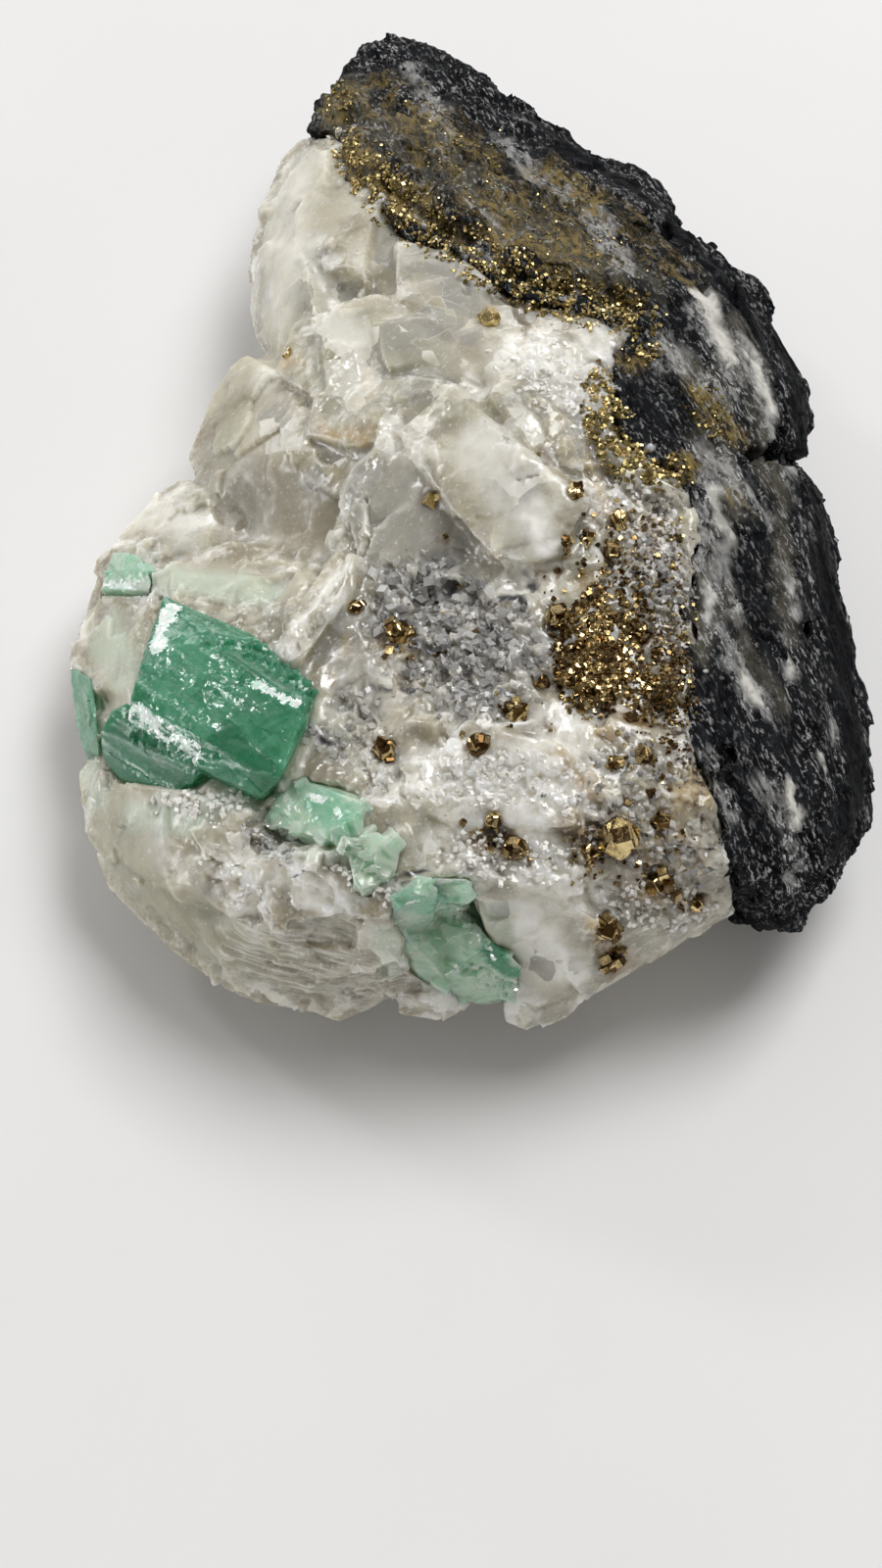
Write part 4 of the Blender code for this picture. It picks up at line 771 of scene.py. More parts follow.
class Shading:
    """Builds a material's nodes in few words; textures are measured in millimetres."""

    def __init__(self, name):
        self.material = bpy.data.materials.new(name)
        self.material.use_nodes = True
        self.tree = self.material.node_tree
        self.shader = self.tree.nodes["Principled BSDF"]
        where = self.made("TexCoord").outputs["Object"]
        scale = self.tree.nodes.new("ShaderNodeVectorMath")
        scale.operation = "SCALE"
        self.put(scale, 0, where)
        self.put(scale, "Scale", 1 / MM)
        self.place = scale.outputs[0]

    def set(self, **values):
        """Sets sockets of the shader that are the same all over."""
        for name, value in values.items():
            self.shader.inputs[name.replace("_", " ")].default_value = value

    def link(self, source, name):
        """Leads a node's output to a socket of the shader."""
        self.tree.links.new(source, self.shader.inputs[name])

    def put(self, node, name, value):
        """Gives a node's socket a number, a colour or another node's output."""
        if isinstance(value, bpy.types.NodeSocket):
            self.tree.links.new(value, node.inputs[name])
        else:
            node.inputs[name].default_value = value

    def made(self, kind, **sockets):
        """A new node with these values at its sockets."""
        node = self.tree.nodes.new("ShaderNode" + kind)
        for name, value in sockets.items():
            self.put(node, name.replace("_", " "), value)
        return node

    def noise(self, size, detail=3.0, rough=0.55, place=None, warp=0.0):
        """Cloudy noise from 0 to 1, with lumps of this size."""
        node = self.made("TexNoise", Vector=place or self.place, Scale=1 / size, Detail=detail,
                         Roughness=rough, Distortion=warp)
        return node.outputs["Fac"]

    def cells(self, size, feature="F1", output="Distance", place=None):
        """Angular cells of this size."""
        node = self.made("TexVoronoi", Vector=place or self.place, Scale=1 / size)
        node.feature = feature
        node.distance = "CHEBYCHEV"
        return node.outputs[output]

    def zone(self, name):
        """How much a place lies in a zone that the mesh carries."""
        node = self.made("Attribute")
        node.attribute_name = name
        return node.outputs["Fac"]

    def math(self, operation, first, second=0.0, clamp=False):
        """The result of a sum on one or two values."""
        node = self.made("Math")
        node.operation = operation
        node.use_clamp = clamp
        self.put(node, 0, first)
        self.put(node, 1, second)
        return node.outputs[0]

    def times(self, product, *factors):
        """The product of values."""
        for factor in factors:
            product = self.math("MULTIPLY", product, factor)
        return product

    def spread(self, value, low, high, to_low=0.0, to_high=1.0):
        """Stretches a value from one range to another, and holds it there."""
        node = self.made("MapRange", Value=value, From_Min=low, From_Max=high, To_Min=to_low, To_Max=to_high)
        return node.outputs["Result"]

    def mix(self, share, first, second):
        """The first colour, with the second over it by this share."""
        node = self.made("Mix")
        node.data_type = "RGBA"
        self.put(node, 0, share)
        for index, colour in ((6, first), (7, second)):
            value = colour if isinstance(colour, bpy.types.NodeSocket) else (*colour[:3], 1)
            self.put(node, index, value)
        return node.outputs[2]

    def over(self, colour, tint, *shares):
        """The colour, with a tint over it where all the shares are high."""
        return self.mix(self.times(*shares), colour, tint)

    def mapped(self, axis, stretch):
        """Places measured along and across an axis, and stretched along it."""
        turn = axis.to_track_quat("Z", "Y").to_euler()
        node = self.made("Mapping", Vector=self.place, Rotation=turn, Scale=(1, 1, stretch))
        node.vector_type = "TEXTURE"
        return node.outputs[0]

    def vector(self, operation, first, second):
        """The result of a sum on two vectors."""
        node = self.made("VectorMath")
        node.operation = operation
        self.put(node, 0, first)
        self.put(node, 1, second)
        return node.outputs["Value" if operation == "DOT_PRODUCT" else 0]

    def facets(self, size, lean):
        """Height in millimetres of small flat faces that lean their own way."""
        node = self.made("TexVoronoi", Vector=self.place, Scale=1 / size)
        away = self.vector("SUBTRACT", self.place, node.outputs["Position"])
        way = self.vector("SUBTRACT", node.outputs["Color"], (0.5, 0.5, 0.5))
        return self.times(self.vector("DOT_PRODUCT", away, way), lean)

    def facing(self, direction):
        """How much the surface faces this way, from -1 to 1."""
        return self.vector("DOT_PRODUCT", self.made("NewGeometry").outputs["Normal"], tuple(direction))

    def bump(self, height, depth, strength=1.0, under=None):
        """Small relief of this depth in millimetres, on top of the relief under it."""
        node = self.made("Bump", Strength=strength, Distance=depth * MM, Height=height)
        if under:
            self.put(node, "Normal", under)
        return node.outputs["Normal"]


def finish_with(thing, material):
    """Gives the object this material alone."""
    thing.data.materials.clear()
    thing.data.materials.append(material)


def calcite_ground(paint, look, broad, cloud, lively):
    """The vein's own colour, cell by cell, with clouds and small cleavage patches."""
    rhombs = paint.mapped(Vector((0.5, 0.4, 0.8)), 1.4)
    chip = paint.zone("chip")
    tone = paint.math("ADD", paint.times(paint.zone("block"), 0.3), paint.times(chip, 0.2))
    tone = paint.math("ADD", tone, paint.times(broad, 0.5))
    colour = paint.mix(paint.spread(tone, 0.35, 0.65), look.warm, look.cool)
    clouded = paint.spread(lively, 0.0, 1.0, 0.3, 1.0)
    colour = paint.over(colour, look.white, paint.spread(cloud, 0.5, 0.66, 0.0, 0.5), clouded)
    colour = paint.over(colour, look.grey, paint.spread(cloud, 0.44, 0.3, 0.0, 0.4))
    blocks = paint.spread(paint.noise(3.4, 2), 0.4, 0.5)
    blocks = paint.times(blocks, paint.spread(lively, 0.15, 1.0, 0.15, 0.6))
    colour = paint.over(colour, look.white, paint.spread(chip, 0.7, 0.72), blocks)
    colour = paint.over(colour, look.brown, paint.spread(chip, 0.3, 0.28), blocks)
    for size, low, high, tint in ((1.3, 0.55, 0.8, look.white), (0.8, 0.45, 0.2, look.grey)):
        patches = paint.spread(paint.cells(size, "F1", "Color", rhombs), low, high, 0.0, 0.35)
        colour = paint.over(colour, tint, patches, lively)
    return colour


def calcite_tints(paint, look, colour, broad, fine):
    """The larger zones of the vein, and its blocks that lie side by side like tiles."""
    cloudy = paint.spread(fine, 0.34, 0.56, 0.6, 1.0)
    # The brown zone among these is painted shade on faces turned from the light
    for name, tint, strength in (
        ("olive", look.olive, 0.75), ("grey", look.grey, 0.75), ("brown", look.brown, 0.8),
        ("green", look.green, 0.75), ("milk", look.white, 0.45), ("white", look.white, 0.95),
        ("rust", look.rust, 0.55),
    ):
        colour = paint.over(colour, tint, paint.zone(name), cloudy, strength)
    tiled = paint.zone("tiled")
    rows = paint.mapped(Vector((0.25, -0.3, 0.9)), 1.5)
    tile = paint.cells(TILE_SIZE, "F1", "Color", rows)
    colour = paint.over(colour, look.grey, tiled, paint.spread(tile, 0.38, 0.36, 0.0, 0.6))
    colour = paint.over(colour, look.white, tiled, paint.spread(tile, 0.6, 0.62, 0.0, 0.45))
    gap = paint.math("SUBTRACT", paint.cells(TILE_SIZE, "F2", "Distance", rows),
                     paint.cells(TILE_SIZE, "F1", "Distance", rows))
    patchy = paint.spread(broad, 0.42, 0.6)
    return paint.over(colour, look.white, tiled, paint.spread(gap, 0.0, 0.04, 0.3, 0.0), patchy)


def calcite_marks(paint, look, colour, broad, cloud, lively):
    """Painted highlight on edges and cell seams, painted shade in corners, white flecks partly painted as
    glints, specks and the layers of the front edge.
    """
    patchy = paint.spread(broad, 0.45, 0.6, 0.0, 0.25)
    # White along the cell seams: partly fracture lines, partly painted highlight
    colour = paint.over(colour, look.white, paint.zone("seam"), patchy)
    # Painted highlight on edges that stand out, then painted shade in brown in the corners
    colour = paint.over(colour, look.white, paint.spread(paint.zone("ridge"), 0.2, 0.9, 0.0, 0.18))
    clean = paint.spread(paint.zone("white"), 0.0, 1.0, 1.0, 0.25)
    colour = paint.over(colour, look.brown, paint.spread(paint.zone("ridge"), -0.2, -0.9, 0.0, 0.4), clean)
    # White flecks: fine fractures, painted to sparkle as glints
    flecks = paint.noise(0.3, 4, 0.7, paint.mapped(Vector((0.5, 0.4, 0.8)), 1.4))
    colour = paint.over(colour, look.fleck, paint.spread(flecks, 0.58, 0.66),
                        paint.spread(lively, 0.0, 1.0, 0.3, 0.5))
    specks = paint.spread(paint.noise(0.28, 3, 0.6), 0.34, 0.28)
    colour = paint.over(colour, look.dark, specks, paint.spread(cloud, 0.4, 0.6, 0.1, 0.8), lively, clean)
    layered = paint.zone("layered")
    lines = paint.noise(2.4, 4, 0.6, paint.mapped(Vector((0, 0, 1)), 0.12))
    colour = paint.over(colour, look.white, layered, paint.spread(lines, 0.44, 0.62, 0.0, 0.55))
    seams = paint.noise(3.0, 3, 0.5, paint.mapped(Vector((0.05, 0, 1)), 0.1))
    return paint.over(colour, look.brown, layered, paint.spread(seams, 0.42, 0.34, 0.0, 0.5))


def calcite_stains(paint, look, colour):
    """Rust and dark grit round the pyrite and along the shale, and painted shade in the hollow's dark cells
    and a slit.
    """
    grains = paint.spread(paint.noise(0.45, 5, 0.7), 0.45, 0.54)
    colour = paint.over(colour, look.stain, paint.zone("speckled"), grains)
    rims = paint.spread(paint.noise(0.5, 4, 0.6), 0.42, 0.56, 0.1, 0.75)
    colour = paint.over(colour, look.halo, paint.zone("halo"), rims)
    # Painted shade: the hollow's dark cells and a slit
    colour = paint.over(colour, look.dark, paint.zone("dark"))
    grit = paint.spread(paint.noise(0.35, 4), 0.36, 0.5, 0.25, 1.0)
    colour = paint.over(colour, look.stain, paint.zone("crust"), grit)
    black = paint.spread(paint.noise(0.5, 5, 0.7), 0.57, 0.65)
    return paint.over(colour, look.dark, paint.zone("contact"), black)


def calcite_finish():
    """The vein's finish: waxy where it is smooth, glittering where it is broken."""
    look = picked("specimen_calcite")
    paint = Shading("calcite")
    broad = paint.noise(5.0, 4)
    fine = paint.noise(0.9, 5)
    cloud = paint.noise(2.6, 4, 0.55, None, 0.5)
    smooth = paint.zone("smooth")
    lively = paint.spread(smooth, 0.0, 1.0, 1.0, 0.15)
    colour = calcite_ground(paint, look, broad, cloud, lively)
    colour = calcite_tints(paint, look, colour, broad, fine)
    colour = calcite_marks(paint, look, colour, broad, cloud, lively)
    paint.link(calcite_stains(paint, look, colour), "Base Color")
    rough = paint.math("ADD", paint.spread(fine, 0.35, 0.65, 0.1, 0.34), paint.times(smooth, 0.22))
    paint.link(rough, "Roughness")
    paint.set(Subsurface_Weight=1.0, Subsurface_Radius=(1.0, 0.93, 0.8), Subsurface_Scale=2.4 * MM,
              IOR=1.6, Specular_IOR_Level=0.6)
    glints = paint.times(paint.spread(paint.noise(1.8, 3), 0.45, 0.6, 0.08, 0.6), lively)
    steps = paint.bump(paint.times(paint.facets(0.4, 0.7), glints), 1.0, 0.7)
    paint.link(paint.bump(paint.noise(0.6, 3), 0.03, 0.3, steps), "Normal")
    return paint.material


def shale_finish():
    """The shale's finish: black layers with dust, grains and veins of calcite, and fine pyrite."""
    look = picked("specimen_shale")
    paint = Shading("shale")
    layered = paint.mapped(SHALE_GRAIN, 3.0)
    grain = paint.noise(0.9, 6, 0.65, layered)
    rim = paint.zone("rim")
    dark = paint.zone("dark")
    bare = paint.math("SUBTRACT", 1.0, paint.math("ADD", rim, paint.times(dark, 0.5)), True)
    colour = paint.mix(paint.spread(grain, 0.42, 0.72), look.black, look.slate)
    dust = paint.spread(paint.noise(1.1, 5, 0.65, layered), 0.36, 0.6, 0.1, 1.0)
    colour = paint.over(colour, look.dust, paint.zone("dust"), dust)
    salt = paint.spread(paint.noise(0.26, 4, 0.7, layered), 0.54, 0.6)
    patches = paint.spread(paint.noise(2.2, 4, 0.6, layered), 0.4, 0.6, 0.12, 0.7)
    patches = paint.math("ADD", patches, paint.zone("lace"), True)
    upper = paint.spread(paint.facing(VIEW_LINE), 0.0, 0.4, 0.12, 1.0)
    open_ground = paint.math("ADD", paint.times(bare, upper), 0.03)
    colour = paint.over(colour, look.speck, patches, open_ground, salt)
    lace = paint.spread(paint.noise(0.7, 6, 0.7, layered), 0.42, 0.6)
    colour = paint.over(colour, look.lace, paint.zone("lace"), lace)
    vein = paint.spread(paint.noise(0.6, 5, 0.65), 0.28, 0.36)
    colour = paint.over(colour, look.vein, paint.zone("vein"), vein)
    haze = paint.spread(paint.noise(1.6, 4, 0.6, layered), 0.42, 0.56, 0.0, 0.9)
    haze = paint.times(paint.zone("haze"), haze, bare)
    gilt = paint.spread(paint.noise(0.5, 6, 0.8, layered), 0.46, 0.56, 0.1, 1.0)
    colour = paint.over(colour, look.gilt, paint.math("ADD", paint.zone("gold"), haze, True), gilt)
    black = paint.math("MAXIMUM", paint.times(rim, 0.95), paint.times(dark, 0.25))
    paint.link(paint.over(colour, look.black, black), "Base Color")
    paint.link(paint.spread(grain, 0.3, 0.7, 0.36, 0.65), "Roughness")
    paint.set(Specular_IOR_Level=0.02)
    slabs = paint.bump(paint.facets(0.35, 0.9), 1.0, 0.8)
    paint.link(paint.bump(paint.noise(0.14, 3), 0.04, 0.8, slabs), "Normal")
    return paint.material


def emerald_finish(name, deep, pale, cloud, clearness, density):
    """A green crystal's finish, from its deeper to its paler green.

    Cloud says how many veils and flecks it has, clearness how much light enters it, and density how
    fast it takes that light up.
    """
    look = picked("specimen_emerald")
    paint = Shading(name)
    lines = paint.mapped(PRISM_AXIS, 5.0)
    shaded = paint.zone("deep")
    mottle = paint.spread(paint.noise(1.6, 5, 0.62, None, 0.6), 0.36, 0.66)
    colour = paint.mix(mottle, deep, pale)
    colour = paint.over(colour, look.milky, paint.zone("pallor"))
    colour = paint.over(colour, look.pale, paint.zone("pale"), 0.6)
    colour = paint.over(colour, look.shade, shaded, 0.9)
    whole = paint.spread(shaded, 0.0, 0.6, 1.0, 0.15)
    veils = paint.spread(paint.noise(0.6, 6, 0.7, lines), 0.52, 0.7)
    colour = paint.over(colour, look.veil, veils, whole, cloud)
    # White flecks in the veil colour: small fractures, and painted glints on the cloudy and pale parts
    flecks = paint.spread(paint.noise(0.3, 4, 0.7), 0.62, 0.68)
    colour = paint.over(colour, look.veil, flecks, paint.math("ADD", cloud, paint.zone("pale"), True))
    paint.link(colour, "Base Color")
    rough = paint.spread(paint.noise(0.5, 4), 0.35, 0.65, 0.05, 0.2)
    paint.link(paint.math("ADD", rough, paint.times(shaded, 0.2)), "Roughness")
    paint.set(Transmission_Weight=clearness, IOR=1.58, Specular_IOR_Level=0.5, Subsurface_Weight=0.7,
              Subsurface_Radius=(0.5, 1.0, 0.75), Subsurface_Scale=1.2 * MM)
    growth = paint.bump(paint.noise(0.4, 3, 0.5, lines), 0.02, 0.5)
    broken = paint.times(paint.spread(paint.noise(1.4, 3), 0.42, 0.58, 0.1, 0.7), whole)
    chips = paint.bump(paint.times(paint.facets(0.35, 0.6), broken), 1.0, 0.8, growth)
    paint.link(paint.bump(paint.noise(0.9, 3), 0.05, 0.4, chips), "Normal")
    inside = paint.made("VolumeAbsorption", Color=(*look.absorbed, 1), Density=density)
    paint.tree.links.new(inside.outputs[0], paint.tree.nodes["Material Output"].inputs["Volume"])
    return paint.material


def frost_glare_finish():
    """Splintered faces of an emerald, painted white as glare where they throw the light back before it gets
    in.
    """
    look = picked("specimen_emerald")
    paint = Shading("emerald_frost")
    holes = paint.spread(paint.cells(0.3, "F1", "Color"), 0.44, 0.36, 0.0, 0.45)
    paint.link(paint.mix(holes, look.frost, look.pale), "Base Color")
    paint.link(paint.spread(paint.noise(0.4, 3), 0.35, 0.65, 0.05, 0.3), "Roughness")
    paint.set(IOR=1.58, Specular_IOR_Level=1.0)
    paint.link(paint.bump(paint.facets(0.3, 0.8), 1.0, 0.8), "Normal")
    return paint.material


def pyrite_finish(name, bright, dull, share, rough=0.0):
    """Brassy metal, bright or tarnished face by face, with dull patches over this share of it."""
    paint = Shading(name)
    tarnish = paint.spread(paint.noise(0.4, 4, 0.6), 0.4, 0.62, -0.3, 0.3)
    colour = paint.mix(paint.math("ADD", tarnish, paint.zone("tone"), True), dull, bright)
    patches = paint.spread(paint.noise(1.6, 4, 0.6), 0.42, 0.62, 0.0, share)
    paint.link(paint.over(colour, dull, patches), "Base Color")
    paint.link(paint.spread(paint.noise(0.2, 4), 0.35, 0.65, 0.06 + rough, 0.22 + rough), "Roughness")
    paint.set(Metallic=1.0)
    steps = paint.bump(paint.facets(0.5, 0.15), 1.0, 0.5)
    paint.link(paint.bump(paint.noise(0.3, 3), 0.015, 0.2, steps), "Normal")
    return paint.material


def sugar_finish(name, dark, light, clearness):
    """Clear calcite that stands in small crystals on the vein."""
    paint = Shading(name)
    paint.link(paint.mix(paint.zone("tone"), dark, light), "Base Color")
    paint.link(paint.spread(paint.noise(0.4, 3), 0.35, 0.65, 0.08, 0.3), "Roughness")
    paint.set(Transmission_Weight=clearness, IOR=1.58, Subsurface_Weight=0.3,
              Subsurface_Radius=(1.0, 0.95, 0.85), Subsurface_Scale=0.4 * MM)
    paint.link(paint.bump(paint.noise(0.2, 3), 0.02, 0.6), "Normal")
    return paint.material


def rhomb_corners():
    """Corners of calcite's cleavage rhomb, about 1 from its middle."""
    edges = np.array([np.array(way) for way in cleavage_planes((0, 0, 0))])
    return CUBE_CORNERS @ edges * 0.62


def rubble(name, corners, faces, spots, chance, sunk=0.3, spread=(0.6, 1.5)):
    """One mesh of many small crystals, each turned its own way on its spot of the surface."""
    all_corners = []
    all_faces = []
    tones = []
    for place, normal, radius in spots:
        size = radius * chance.uniform(*spread) * MM
        turned = np.array(turned_at_random(chance))
        stretch = np.array([chance.uniform(0.75, 1.25) for _ in range(3)])
        centre = np.array(place + normal * size * sunk)
        start = len(all_corners) * len(corners)
        all_corners.append((corners * stretch) @ turned.T * size + centre)
        all_faces += [tuple(start + index for index in face) for face in faces]
        tones += [chance.random()] * len(corners)
    mesh = bpy.data.meshes.new(name)
    mesh.from_pydata(np.concatenate(all_corners), [], all_faces)
    stored(mesh, "tone", tones)
    return new_object(name, mesh)


def intergrown(name, chance):
    """The bodies of a pyrite crystal: its solid with bevelled edges, and smaller cubes grown into it."""
    low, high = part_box(name)
    size = (high - low).length
    bodies = [node_copy(name, LARGER_PYRITES.get(name, USUAL_PYRITE) * size)]
    corners = [vert.co.copy() for vert in bodies[0].verts]
    count = 6 if "edge" in name else 3 if size < 3 * MM else 1
    for place in chance.sample(corners, count):
        seat = place.lerp((low + high) / 2, chance.uniform(0.1, 0.45))
        turned = turned_at_random(chance).to_4x4()
        width = size * chance.uniform(0.16, 0.34)
        body = bmesh.new()
        bmesh.ops.create_cube(body, size=width, matrix=Matrix.Translation(seat) @ turned)
        bodies.append(body)
    for body in bodies:
        bmesh.ops.bevel(body, geom=body.edges[:], offset=0.03 * size, segments=1, affect="EDGES")
    return bodies


def scattered(tree, bands, chance, patch=0.0):
    """Spots of the surface in the bands, thinning out towards their rims and, if asked, in patches."""
    spots = []
    for start, end, width, density, radius in bands:
        start, end = Vector(start), Vector(end)
        area = (end - start).length * width * 2 + math.pi * width * width
        for _ in range(round(area * density)):
            middle = start.lerp(end, chance.random())
            turn = chance.uniform(0, math.tau)
            out = width * 1.25 * chance.random() ** 0.7
            found = place_in_view(tree, middle.x + out * math.cos(turn), middle.y + out * math.sin(turn))
            if found and noise.noise(found[0] / (0.9 * MM)) > patch - 1 + chance.uniform(-0.2, 0.2):
                spots.append((found[0], found[1], radius))
    return spots


def finished_rock(thing, tree, zones, material):
    """Gives a rock its zones and its finish."""
    mark_zones(thing, tree, zones)
    thing.data.shade_smooth()
    finish_with(thing, material)
    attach(thing, "root")


def vein_bodies(base, both, growth):
    """What the vein is made of: its solid, the ground under the pyrite, and lumps along its borders."""
    bodies = [node_copy("calcite", growth)]
    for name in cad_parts:
        if name.startswith("pyrite_crust") and name not in SHALE_CRUSTS:
            bodies.append(node_copy(name, CRUST_GROWTH))
        elif name.startswith("pyrite") and name not in SHALE_CRUSTS:
            bodies.append(pocket_plug(base, name))
    bodies.append(filled_hollows())
    chance = random.Random(11)
    bodies += lumps_along(both, CONTACT_LINE[:-4], 0.7, 0.45, chance, 0.5)
    bodies += lumps_along(both, SLAB_EDGE, 0.35, 0.6, chance, 0.2)
    dressed = tree_of(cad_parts["calcite"], *nodes_named("emerald"))
    for name in ("emerald_main", "emerald_pale_upper", "emerald_pale_lower", "emerald_corner_chip"):
        bodies += lumps_along(dressed, seen_outline(name, 0.3), 0.42, 0.4, chance, 0.12)
    return bodies


def cleave_vein(rock, base):
    """Breaks the vein's skin into cleavage faces, sugar and layers, and notes the cells for the finish."""
    places, _ = points_of(rock)
    smooth = zone_share(places, base, SMOOTH_CALCITE)
    worn = zone_share(places, base, WORN_CALCITE)
    relaxed(rock, smooth * 0.9, 10)
    relaxed(rock, worn, 50)
    places, outward = points_of(rock)
    sugary = zone_share(places, base, [band[:3] for bands in SUGAR_BANDS.values() for band in bands])
    broken = np.clip(noise_at(places, 5.0) * 2 - 0.1 + zone_share(places, base, BROKEN_CALCITE), 0, 1)
    broken *= 1 - smooth
    shift, block, seam = cleaved(places, cell=4.6, slope=0.06, step=0.07)
    small, chip, chip_seam = cleaved(places, cell=1.9, slope=0.16, step=0.07, turn=(1.2, 0.4, 2.0))
    grit = cleaved(places, cell=0.8, slope=0.5, step=0.08, turn=(0.2, 1.1, 0.7))[0]
    shift += small * broken
    shift += grit * np.maximum(sugary, broken * 0.25)
    shift += rough_at(places, 2.4, 3) * 0.03 * MM
    layers = (places[:, 2] / (0.7 * MM) + noise_at(places, 5.0)) % 1 * noise_at(places, 1.2, 9)
    shift += layers * 0.24 * MM * zone_share(places, base, LAYERED_CALCITE)
    places += outward * shift[:, None]
    places[:, 2] = np.maximum(places[:, 2], 0)
    moved(rock, places)
    stored(rock.data, "block", block)
    stored(rock.data, "chip", chip)
    stored(rock.data, "seam", np.maximum(seam * (1 - smooth), chip_seam * broken))
    stored(rock.data, "ridge", ridges(rock))


def vein_zones():
    """All the zones that the vein's finish reads."""
    zones = dict(CALCITE_ZONES)
    zones["contact"] = [(start, end, 1.3) for start, end in zip(CONTACT_LINE, CONTACT_LINE[1:])]
    zones["smooth"] = SMOOTH_CALCITE
    zones["layered"] = LAYERED_CALCITE
    zones["halo"] = [(place, place, reach) for place, reach in crystals_seen()]
    for name, bands in GRAIN_BANDS.items():
        if name not in SHALE_CRUSTS:
            zones["crust"] = zones["crust"] + [band[:3] for band in bands]
    return zones


def emerald_bodies(name, growth, ground, chance):
    """What an emerald is made of: its solid, and the small crystals grown onto it."""
    bodies = [node_copy(name, growth)]
    for across, up, radius in EMERALD_GRAINS.get(name, []):
        bodies.append(lump(*place_in_view(ground, across, up), radius * MM, chance, 0.35))
    return bodies


def line_emerald(crystal, base, depth):
    """Draws growth lines along an emerald and splinters its edges."""
    places, outward = points_of(crystal)
    axis = np.array(PRISM_AXIS)
    drawn = places - np.outer(places @ axis, axis) * 0.94
    shift = rough_at(drawn, 0.7, 2) * depth
    shift += cleaved(drawn, cell=1.4, slope=0.05, step=0.03)[0]
    shift += cleaved(places, **EMERALD_CHIPS)[0] * zone_share(places, base, BROKEN_EMERALD)
    moved(crystal, places + outward * shift[:, None])
    thinned(crystal, EMERALD_TRIANGLES)


def give_frost_glare(crystal, base, frost_glare_material):
    """Gives the splintered faces of an emerald their own finish, painted white as glare."""
    crystal.data.materials.append(frost_glare_material)
    places, _ = points_of(crystal)
    chips = cleaved(places, **EMERALD_CHIPS)[1] + 0.85
    share = chips * zone_share(places, base, EMERALD_ZONES["frost"])
    for face in crystal.data.polygons:
        face.material_index = int(share[face.vertices[0]] > 0.5)


def colour_setting(name, description, default):
    """A colour that a user may change."""
    return FloatVectorProperty(name=name, description=description, subtype="COLOR", default=default)


def length_setting(name, description, default):
    """A length that a user may change."""
    return FloatProperty(name=name, description=description, default=default, unit="LENGTH")


def power_setting(name, description, default):
    """The watts of a light that a user may change."""
    return FloatProperty(name=name, description=description, default=default, unit="POWER")


class CalciteSettings(PropertyGroup):
    """The vein's mesh and colours"""
    spacing: length_setting("Mesh spacing", "Size of the faces of the vein's skin", 0.22 * MM)
    growth: length_setting("Growth", "How far the vein closes up on its crystals", 0.22 * MM)
    triangles: IntProperty(name="Triangles", description="Most triangles in the vein", default=190000)
    warm: colour_setting("Warm white", "Milky calcite", (0.47, 0.44, 0.33))
    cool: colour_setting("Cool white", "Clearer calcite", (0.4, 0.39, 0.34))
    # Sugar white is also the painted highlight on edges and seams
    white: colour_setting("Sugar white", "Sugary calcite", (0.93, 0.92, 0.86))
    grey: colour_setting("Glass grey", "See-through calcite", (0.27, 0.265, 0.24))
    olive: colour_setting("Olive", "Waxy calcite", (0.34, 0.33, 0.23))
    # Brown: painted shade on faces turned from the light and in corners, and the brown tone of patches and
    # layer seams
    brown: colour_setting("Smoky brown", "Calcite in shade", (0.28, 0.24, 0.17))
    green: colour_setting("Green tint", "Calcite near the emeralds", (0.5, 0.58, 0.47))
    # Flecks: fine fractures, painted white as glints
    fleck: colour_setting("Flecks", "Fine white fractures", (0.9, 0.89, 0.85))
    rust: colour_setting("Rust", "Ochre seams", (0.5, 0.35, 0.15))
    halo: colour_setting("Halo", "Rusty rims of the pyrite crystals", (0.16, 0.075, 0.02))
    # Dark cells: painted shade in the hollow and a slit, also the dark specks and grit
    dark: colour_setting("Dark cells", "Cells of the hollow", (0.05, 0.05, 0.055))
    stain: colour_setting("Stain", "Ground under the crusts", (0.06, 0.035, 0.015))


class ShaleSettings(PropertyGroup):
    """The shale's mesh and colours"""
    spacing: length_setting("Mesh spacing", "Size of the faces of the shale's skin", 0.22 * MM)
    growth: length_setting("Growth", "How far the shale closes up on the vein", 0.2 * MM)
    triangles: IntProperty(name="Triangles", description="Most triangles in the shale", default=150000)
    black: colour_setting("Black", "Fresh shale", (0.006, 0.0065, 0.0075))
    slate: colour_setting("Slate", "Dusty shale", (0.026, 0.028, 0.031))
    speck: colour_setting("Specks", "Grains of calcite in the shale", (0.48, 0.48, 0.48))
    dust: colour_setting("Dust", "Weathered shale", (0.1, 0.094, 0.074))
    lace: colour_setting("Lace", "Calcite grown through the shale", (0.36, 0.36, 0.35))
    vein: colour_setting("Vein", "Small veins of calcite", (0.66, 0.65, 0.6))
    gilt: colour_setting("Gilt", "Fine pyrite in the shale", (0.24, 0.18, 0.07))


class EmeraldSettings(PropertyGroup):
    """The emeralds' mesh, colours and clearness"""
    spacing: length_setting("Mesh spacing", "Size of the faces of an emerald's skin", 0.12 * MM)
    growth: length_setting("Growth", "How far an emerald fills its pocket", 0.1 * MM)
    lines: length_setting("Growth lines", "Depth of the lines along the prism", 0.04 * MM)
    deep: colour_setting("Deep green", "Darker parts", (0.03, 0.33, 0.16))
    pale: colour_setting("Pale green", "Lighter parts", (0.2, 0.62, 0.4))
    milky: colour_setting("Milky green", "Lighter parts of the pale crystals", (0.75, 0.92, 0.72))
    shade: colour_setting("Shade", "Darkest parts", (0.01, 0.28, 0.125))
    veil: colour_setting("Veils", "Cloudy fractures", (0.72, 0.92, 0.8))
    # Frost: painted glare, white on splintered faces
    frost: colour_setting("Frost", "Splintered faces that throw the light back", (0.93, 0.98, 0.95))
    absorbed: colour_setting("Glass colour", "What the crystal lets through", (0.35, 0.9, 0.66))
    density: FloatProperty(name="Density", description="How fast it takes up the rest, per metre",
                           default=200)
    clearness: FloatProperty(name="Clearness", description="Share of the light that enters the crystal",
                             default=0.6, subtype="FACTOR")


